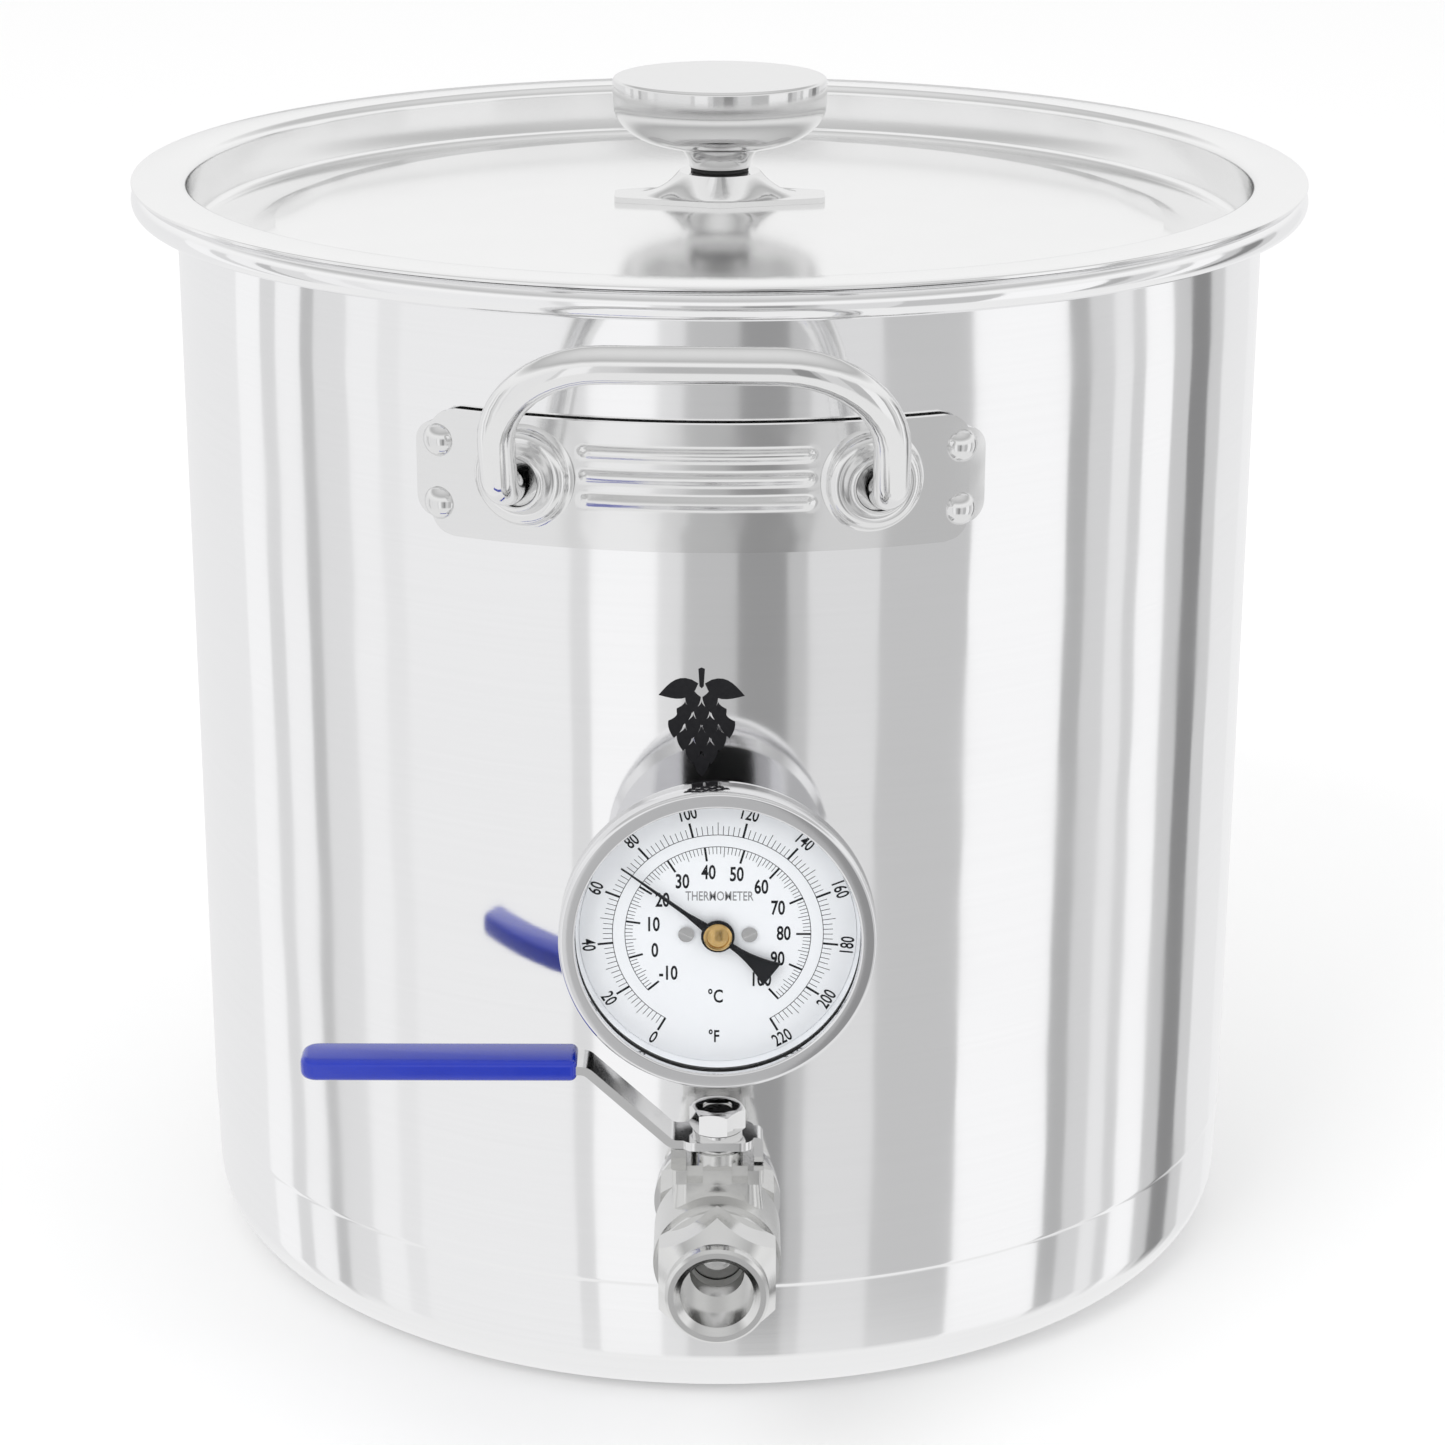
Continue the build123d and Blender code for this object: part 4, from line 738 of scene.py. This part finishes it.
def wrapped_plate(turn, width, height, corner, inner, thickness, beads=False):
    """A round-cornered plate as a grid, pressed with beads and wrapped round the pot."""
    bm = bmesh.new()
    columns, rows = 150, 44
    bmesh.ops.create_grid(bm, x_segments=columns, y_segments=rows, size=0.5)
    bead_half = radians(BEAD_TURN) * inner
    for vert in bm.verts:
        v = vert.co.y * height
        inset = max(0.0, abs(v) - (height / 2 - corner))
        reach = width / 2 - corner + sqrt(max(corner**2 - inset**2, 0.0))
        u = max(-reach, min(reach, vert.co.x * width))
        out = inner + thickness
        if beads:
            for row in (-1, 0, 1):
                drop = v - (BEAD_LIFT + row * BEAD_STEP)
                past = max(0.0, abs(u) - (bead_half - BEAD_REACH))
                gap = sqrt(drop**2 + past**2) / BEAD_REACH
                if gap < 1:
                    out += BEAD_RISE * (cos(gap * pi) + 1) / 2
        vert.co = around(turn + degrees(u / inner), out, PLATE_MIDDLE + v)
    bmesh.ops.recalc_face_normals(bm, faces=bm.faces[:])
    middle = around(turn, inner, PLATE_MIDDLE)
    if bm.faces[len(bm.faces) // 2].normal.dot(middle) < 0:
        bmesh.ops.reverse_faces(bm, faces=bm.faces[:])
    bmesh.ops.remove_doubles(bm, verts=bm.verts[:], dist=2e-6)
    bmesh.ops.dissolve_degenerate(bm, dist=1e-7, edges=bm.edges[:])
    bmesh.ops.solidify(bm, geom=bm.faces[:], thickness=thickness * MM)
    return bm


def boss(turn, side):
    """The pressed boss: a round shoulder, a shallow ring and a rolled lip round the rod."""
    outline = (
        [(14.4, -0.6), (14.4, 0.0), (13.6, 0.5)]
        + arc((10.4, 1.9), 2.6, -10, 100, 8)
        + [(9.2, 4.0)]
        + [(8.5, 5.0), (8.2, 6.4)]
        + arc((7.4, 7.2), 0.8, 0, 180, 6)
        + [(6.6, 5.0), (6.6, -0.6)]
    )
    bm = turned(outline, steps=72)
    bm.transform(side_frame(turn + side * BOSS_TURN, PLATE_FACE, HANDLE_HEIGHT))
    return bm


def rivet(turn, height):
    """One rivet's domed head outside and its flat upset tail inside."""
    ball = (HEAD_RADIUS**2 + HEAD_HEIGHT**2) / (2 * HEAD_HEIGHT)
    reach = degrees(asin(HEAD_RADIUS / ball))
    head = [(0, -0.2), (HEAD_RADIUS, -0.2)] + arc((0, HEAD_HEIGHT - ball), ball, 90 - reach, 90, 8)
    outer = turned(head, steps=32)
    outer.transform(side_frame(turn, PLATE_FACE, height))
    tail = turned([
        (0, 0), (TAIL_RADIUS, 0), (TAIL_RADIUS, 0.4 - TAIL_HEIGHT),
        (TAIL_RADIUS - 0.4, -TAIL_HEIGHT), (0, -TAIL_HEIGHT),
    ], steps=24)
    tail.transform(side_frame(turn, sqrt(INNER_RADIUS**2 - TAIL_RADIUS**2), height))
    return merged([outer, tail])


for handle_end, handle_turn in (("front", HANDLE_TURN), ("rear", HANDLE_TURN + 180)):
    plate = wrapped_plate(
        handle_turn, PLATE_WIDTH, PLATE_HEIGHT, PLATE_CORNER, STRAP_FACE, PLATE_THICK, beads=True)
    bracket = merged([plate] + [boss(handle_turn, side) for side in (-1, 1)])
    piece(bracket, f"bracket_{handle_end}", "kettle", stamped_steel,
          [f"handle_bracket_{handle_end}"], limit=40)
    strap = wrapped_plate(handle_turn, STRAP_WIDTH, STRAP_HEIGHT, STRAP_CORNER, POT_RADIUS, STRAP_THICK)
    piece(strap, f"strap_{handle_end}", "kettle", stamped_steel,
          [f"handle_strap_{handle_end}"], limit=40)
    rivets = merged([
        rivet(handle_turn + side * RIVET_TURN, PLATE_MIDDLE + row * RIVET_STEP / 2)
        for side in (-1, 1) for row in (-1, 1)
    ])
    piece(rivets, f"rivets_{handle_end}", "kettle", knob_steel,
          [f"handle_rivets_{handle_end}"], limit=50)

# %% [markdown]
# ## Dial thermometer
# The thermometer is a shallow steel cup on a stem. A bezel is rolled over its front and
# holds the glass, and a pale ring fills the gap between the glass and the dial. The bezel
# is turned here, with the round edges that catch a thin bright line.

# %% Bezel
bezel_low, bezel_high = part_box("thermo_bezel")
BEZEL_FRONT = -bezel_low.y / MM
BEZEL_RADIUS = bezel_high.x / MM
BEZEL_BACK = -bezel_high.y / MM
BEZEL_SHEET, FACE_WIDTH, SHOULDER, LIP = 1.2, 4.55, 1.1, 0.7
WINDOW = BEZEL_RADIUS - FACE_WIDTH
DIAL_CENTRE = (0, 0, (bezel_low.z + bezel_high.z) / 2)


def bezel_outline():
    """Back edge, outer wall, rounded shoulder, flat face and the rounded lip at the window."""
    lens_seat = BEZEL_FRONT - BEZEL_SHEET - 0.6
    return (
        [(BEZEL_RADIUS - BEZEL_SHEET, BEZEL_BACK), (BEZEL_RADIUS - 0.2, BEZEL_BACK)]
        + [(BEZEL_RADIUS, BEZEL_BACK + 0.3)]
        + arc((BEZEL_RADIUS - SHOULDER, BEZEL_FRONT - SHOULDER - 0.05), SHOULDER, 0, 90, 7)
        + [(WINDOW + 0.8, BEZEL_FRONT - 0.02)]
        + arc((WINDOW + LIP, BEZEL_FRONT - LIP - 0.02), LIP, 90, 180, 6)
        + [(WINDOW, lens_seat), (BEZEL_RADIUS - BEZEL_SHEET, lens_seat)]
    )


piece(
    turned(bezel_outline(), steps=192, centre=DIAL_CENTRE, facing="front"),
    "bezel", "kettle", bezel_steel, ["thermo_bezel"], limit=40,
)
tidy_copy("thermo_case", "case", bezel_steel)
tidy_copy("dial_ring", "ring_in_the_case", dial_enamel)
tidy_copy("dial_screws", "screws_on_the_dial", knob_steel)
hub_low, hub_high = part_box("needle_hub")
HUB_FRONT, HUB_BACK, HUB_RADIUS = -hub_low.y / MM, -hub_high.y / MM, hub_high.x / MM
hub_outline = (
    [(0, HUB_FRONT), (1.0, HUB_FRONT - 0.06), (2.0, HUB_FRONT - 0.24), (2.9, HUB_FRONT - 0.5)]
    + [(3.05, HUB_FRONT - 0.2), (HUB_RADIUS - 0.4, HUB_FRONT - 0.12), (HUB_RADIUS, HUB_FRONT - 0.45)]
    + [(HUB_RADIUS, HUB_BACK), (0, HUB_BACK)]
)
piece(
    turned(hub_outline, steps=96, centre=DIAL_CENTRE, facing="front"),
    "brass_hub", "needle", brass, ["needle_hub"], limit=24,
)

# %% [markdown]
# ## Print on the dial
# A printed scale is a film a few hundredths of a millimetre thick, so every mark here is a
# thin slab laid on the dial. Two scales share one sweep: Fahrenheit outside, from 0 to
# 220, and Celsius inside, from -10 to 100. A clock direction, in degrees from the top,
# places every mark.

# %% Places on the dial
DIAL_FACE = -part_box("dial_plate")[0].y / MM
FILM = 0.04
SWEEP_START, SWEEP = 210.0, 300.0
COLD, HOT = 0, 220


def clock_of(fahrenheit):
    """The clock direction of a temperature."""
    return SWEEP_START + SWEEP * (fahrenheit - COLD) / (HOT - COLD)


def on_dial(clock, radius):
    """A point of the dial's face by clock direction and distance from its centre."""
    turn = radians(clock)
    return Vector((radius * sin(turn), -DIAL_FACE, radius * cos(turn))) * MM + Vector(DIAL_CENTRE)


def tick(bm, clock, inner, outer, width):
    """One printed line, pointing at the centre."""
    size = Matrix.Diagonal((width * MM, FILM * MM, (outer - inner) * MM, 1))
    turn = Matrix.Rotation(radians(clock), 4, "Y")
    middle = Matrix.Translation(on_dial(clock, (inner + outer) / 2))
    bmesh.ops.create_cube(bm, size=1, matrix=middle @ turn @ size)


def arc_line(bm, radius, start, stop, width):
    """A printed arc between two clock directions."""
    corners = [
        bm.verts.new(on_dial(start, radius) + Matrix.Rotation(radians(start), 3, "Y") @ Vector(
            (0, out * FILM * MM / 2, side * width * MM / 2)))
        for out, side in ((-1, -1), (1, -1), (1, 1), (-1, 1))
    ]
    face = bm.faces.new(corners)
    bmesh.ops.spin(bm, geom=[face], cent=DIAL_CENTRE, axis=(0, 1, 0), angle=radians(stop - start), steps=90)


# %% Scales
marks = bmesh.new()
FAHRENHEIT_ARC, CELSIUS_ARC = 28.7, 25.3
arc_line(marks, FAHRENHEIT_ARC, clock_of(COLD), clock_of(HOT), 0.18)
arc_line(marks, CELSIUS_ARC, clock_of(14), clock_of(212), 0.18)
for degree in range(COLD, HOT + 1, 2):
    long = degree % 20 == 0
    reach = 4.2 if long else 3.6 if degree % 10 == 0 else 2.6
    tick(marks, clock_of(degree), FAHRENHEIT_ARC, FAHRENHEIT_ARC + reach, 0.62 if long else 0.18)
for degree in range(-10, 101):
    long = degree % 10 == 0
    reach = 4.0 if long else 3.0 if degree % 5 == 0 else 2.1
    tick(marks, clock_of(degree * 1.8 + 32), CELSIUS_ARC - reach, CELSIUS_ARC, 0.60 if long else 0.17)
print("lines on the dial:", len(marks.faces) // 6)


# %% Numbers
def lettering(text, cap, place, turn=0.0, squeeze=0.78, bold=0.0):
    """Flat characters of a cap height in millimetres, standing at a place and turned clockwise."""
    curve = bpy.data.curves.new("lettering", "FONT")
    curve.body = text
    curve.size = cap / 0.7 * MM
    curve.align_x, curve.align_y = "CENTER", "CENTER"
    curve.extrude = FILM * MM / 2
    curve.offset = bold * MM
    curve.resolution_u = 3
    holder = bpy.data.objects.new("lettering", curve)
    bpy.context.scene.collection.objects.link(holder)
    bpy.context.view_layer.update()
    mesh = bpy.data.meshes.new_from_object(holder.evaluated_get(bpy.context.evaluated_depsgraph_get()))
    bpy.data.objects.remove(holder)
    bpy.data.curves.remove(curve)
    bm = bmesh.new()
    bm.from_mesh(mesh)
    bpy.data.meshes.remove(mesh)
    bmesh.ops.remove_doubles(bm, verts=bm.verts[:], dist=1e-7)
    bm.transform(
        Matrix.Translation(place) @ Matrix.Rotation(radians(turn), 4, "Y")
        @ Matrix.Rotation(pi / 2, 4, "X") @ Matrix.Diagonal((squeeze, 1, 1, 1))
    )
    return bm


numbers = []
for degree in range(COLD, HOT + 1, 20):
    clock = clock_of(degree) % 360
    upright = clock if not 90 < clock < 270 else clock - 180
    numbers.append(lettering(str(degree), 3.6, on_dial(clock, 35.5), upright, squeeze=0.70, bold=0.08))
for degree in range(-10, 101, 10):
    clock = clock_of(degree * 1.8 + 32)
    numbers.append(lettering(str(degree), 4.0, on_dial(clock, 17.9), squeeze=0.68, bold=0.13))
numbers.append(lettering("°C", 3.8, on_dial(182, 18.6), squeeze=0.72, bold=0.10))
numbers.append(lettering("°F", 3.5, on_dial(182, 30.5), squeeze=0.72, bold=0.10))
piece(
    merged([marks] + numbers), "print_on_the_dial", "kettle", print_black, limit=30
)
print_grey = coated("print_grey", (0.22, 0.22, 0.23), (0.28, 0.28, 0.29), 0.5, 900, 0.00001)
title = lettering("THERMOMETER", 2.7, on_dial(2, 10.9), squeeze=0.68, bold=0.03)
piece(title, "title_on_the_dial", "kettle", print_grey, limit=30)

# %% [markdown]
# ## Needle
# The needle is stamped from thin sheet: a long taper on one side of the spindle and a fan
# on the other that balances it. Its outline is built flat, pointing up, then given its
# thickness and turned to the reading that the frame holds.

# %% Needle
needle_low, needle_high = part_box("needle")
NEEDLE_FACE = -needle_high.y / MM
NEEDLE_THICK = (needle_high.y - needle_low.y) / MM
NEEDLE_CLOCK = 307.0
NEEDLE_LONG, TAIL_LONG, TAIL_WIDE, EYE = 32.7, 18.5, 8.0, 4.6


def needle_side(side):
    """One side of the needle from the tip down to the end of the fan."""
    fan = [(side * (0.75 + (TAIL_WIDE / 2 - 0.75) * share**1.9), -EYE - (TAIL_LONG - EYE) * share)
           for share in (0.0, 0.2, 0.4, 0.6, 0.8, 1.0)]
    eye = [(side * EYE * sin(radians(t)), EYE * cos(radians(t))) for t in range(15, 166, 15)]
    return [(side * 0.13, NEEDLE_LONG), (side * 0.55, EYE + 6)] + eye + fan


needle_bm = bmesh.new()
outline = needle_side(1) + list(reversed(needle_side(-1)))
lower = needle_bm.faces.new([needle_bm.verts.new((x * MM, -NEEDLE_FACE * MM, z * MM)) for x, z in outline])
raised = bmesh.ops.extrude_face_region(needle_bm, geom=[lower])["geom"]
raised_verts = [g for g in raised if isinstance(g, bmesh.types.BMVert)]
bmesh.ops.translate(needle_bm, verts=raised_verts, vec=(0, -NEEDLE_THICK * MM, 0))
bmesh.ops.recalc_face_normals(needle_bm, faces=needle_bm.faces[:])
bmesh.ops.triangulate(needle_bm, faces=[f for f in needle_bm.faces if len(f.verts) > 4])
needle_bm.transform(Matrix.Translation(DIAL_CENTRE) @ Matrix.Rotation(radians(NEEDLE_CLOCK), 4, "Y"))
piece(needle_bm, "black_needle", "needle", needle_black, ["needle"], limit=30)

# %% [markdown]
# ## Valve, lever and bulkhead fittings
# These are castings and machined parts whose shape is all function, and the CAD solids
# already have it. Their own meshes are joined up so that they shade smoothly, and each
# gets the finish of its process: castings grainy, machined faces tighter, stampings
# brushed along their length.

# %% Fittings in their finishes
fittings = [
    ("valve_body", "cast_valve_body", cast_steel), ("valve_end_piece", "screwed_end", machined_steel),
    ("valve_lever", "stamped_lever", stamped_steel), ("lever_nut", "nut_on_the_lever", knob_steel),
    ("lever_washer", "washer_under_the_nut", knob_steel), ("valve_stem", "stem", machined_steel),
    ("valve_ball", "ball", knob_steel), ("drain_washer", "washer_at_the_drain", knob_steel),
    ("probe_fitting", "fitting_behind_the_dial", machined_steel),
    ("probe_washer", "washer_at_the_probe", knob_steel),
]
for node, name, finish in fittings:
    tidy_copy(node, name, finish)

# %% [markdown]
# The lever's grip is dipped, so it has no crisp edge anywhere. Its box gets two bevels: a
# wide one on the upright edges at the tip, then a small one round everything else.

# %% Dipped grip
grip_low, grip_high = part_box("lever_grip")
TIP_ROUND, EDGE_SOFT = 4.5, 1.9
grip_bm = bmesh.new()
grip_size = Matrix.Diagonal((*(grip_high - grip_low), 1))
bmesh.ops.create_cube(grip_bm, size=1, matrix=Matrix.Translation((grip_low + grip_high) / 2) @ grip_size)
tip_edges = [e for e in grip_bm.edges if all(abs(v.co.x - grip_low.x) < 1e-6 for v in e.verts)
             and abs(e.verts[0].co.z - e.verts[1].co.z) > 1e-4]
bmesh.ops.bevel(
    grip_bm, geom=tip_edges, offset=TIP_ROUND * MM, affect="EDGES", segments=6, profile=0.5, material=-1)
sharp_edges = [e for e in grip_bm.edges if e.calc_face_angle(0) > radians(50)]
bmesh.ops.bevel(
    grip_bm, geom=sharp_edges, offset=EDGE_SOFT * MM, affect="EDGES", segments=4, profile=0.5, material=-1)
piece(grip_bm, "vinyl_grip", "lever", blue_vinyl, ["lever_grip"], limit=40)

# %% Finishes for the nodes that stay as they are
# The lens seal is silicone in the frame. Its black rubber here is painted shade: it draws the dark shadow
# line in the gap between the bezel's lip and the dial.
left_showing = {
    "thermo_lens": lens_glass, "dial_plate": dial_enamel, "lens_seal": black_rubber, "drain_seal": silicone,
    "probe_seal": silicone, "drain_nipple": machined_steel, "drain_locknut": machined_steel,
    "probe_locknut": machined_steel, "ball_seats": ptfe, "stem_packing": ptfe, "gland_ring": machined_steel,
    "probe_tube": rod_steel, "bimetal_coil": brass, "needle_spindle": brass, "spindle_bush": brass,
    "knob_screw": machined_steel,
}
for node, finish in left_showing.items():
    mesh = frame["nodes"][node].data
    mesh.materials.clear()
    mesh.materials.append(finish)
print("nodes with a finish of their own:", len(left_showing))

# %% [markdown]
# ## Mark on the pot
# The kettle carries a printed mark at the front. This one is a plain hop cone, the plant
# that the kettle is for: rows of pointed scales, two leaves and a stalk. Each scale is
# cut flat, given the thickness of the print, and wrapped on the wall.

# %% Hop cone
MARK_TURN, MARK_HEIGHT = -1.6, 211.0
PRINT = 0.06


def wrapped(outline, across, up, lean=0.0):
    """A flat shape swung about its own origin, set at a point of the mark and wrapped on the pot."""
    bm = bmesh.new()
    swing = Matrix.Rotation(radians(lean), 2)
    flat = [swing @ Vector(point) + Vector((across, up)) for point in outline]
    for out in (0.01, PRINT):
        bm.faces.new([bm.verts.new(around(
            MARK_TURN + degrees(u / POT_RADIUS), POT_RADIUS + out, MARK_HEIGHT + v)) for u, v in flat])
    bmesh.ops.bridge_loops(bm, edges=bm.edges[:])
    bmesh.ops.recalc_face_normals(bm, faces=bm.faces[:])
    return bm


def both_sides(half):
    """A whole outline from its right half, given from the top point to the bottom point."""
    return half + [(-x, y) for x, y in reversed(half[1:-1])]


SHARES = [i / 8 for i in range(9)]
scale = both_sides(
    [(2.15 * share**1.9, 2.5 * (1 - share)) for share in SHARES]
    + [(2.15 * (1 - share**2.1), -4.7 * share) for share in SHARES[1:]]
)
leaf = both_sides([(2.9 * sin(pi * share**0.8), -11.5 * share) for share in SHARES])
stalk = both_sides([(0.0, 5.4), (0.9, 5.0), (0.6, 0.0), (0.0, -0.6)])
cone_rows = [(2, 7.6), (3, 3.9), (4, 0.2), (3, -3.5), (2, -7.2), (1, -10.9)]
marks_on_pot = [
    wrapped(scale, (column - (count - 1) / 2) * 4.7, up, lean=(column - (count - 1) / 2) * 5)
    for count, up in cone_rows for column in range(count)
]
marks_on_pot += [wrapped(leaf, side * 0.9, 11.4, lean=side * 72) for side in (-1, 1)]
marks_on_pot.append(wrapped(stalk, 0, 10.6))
piece(merged(marks_on_pot), "hop_mark", "kettle", print_black, limit=30)
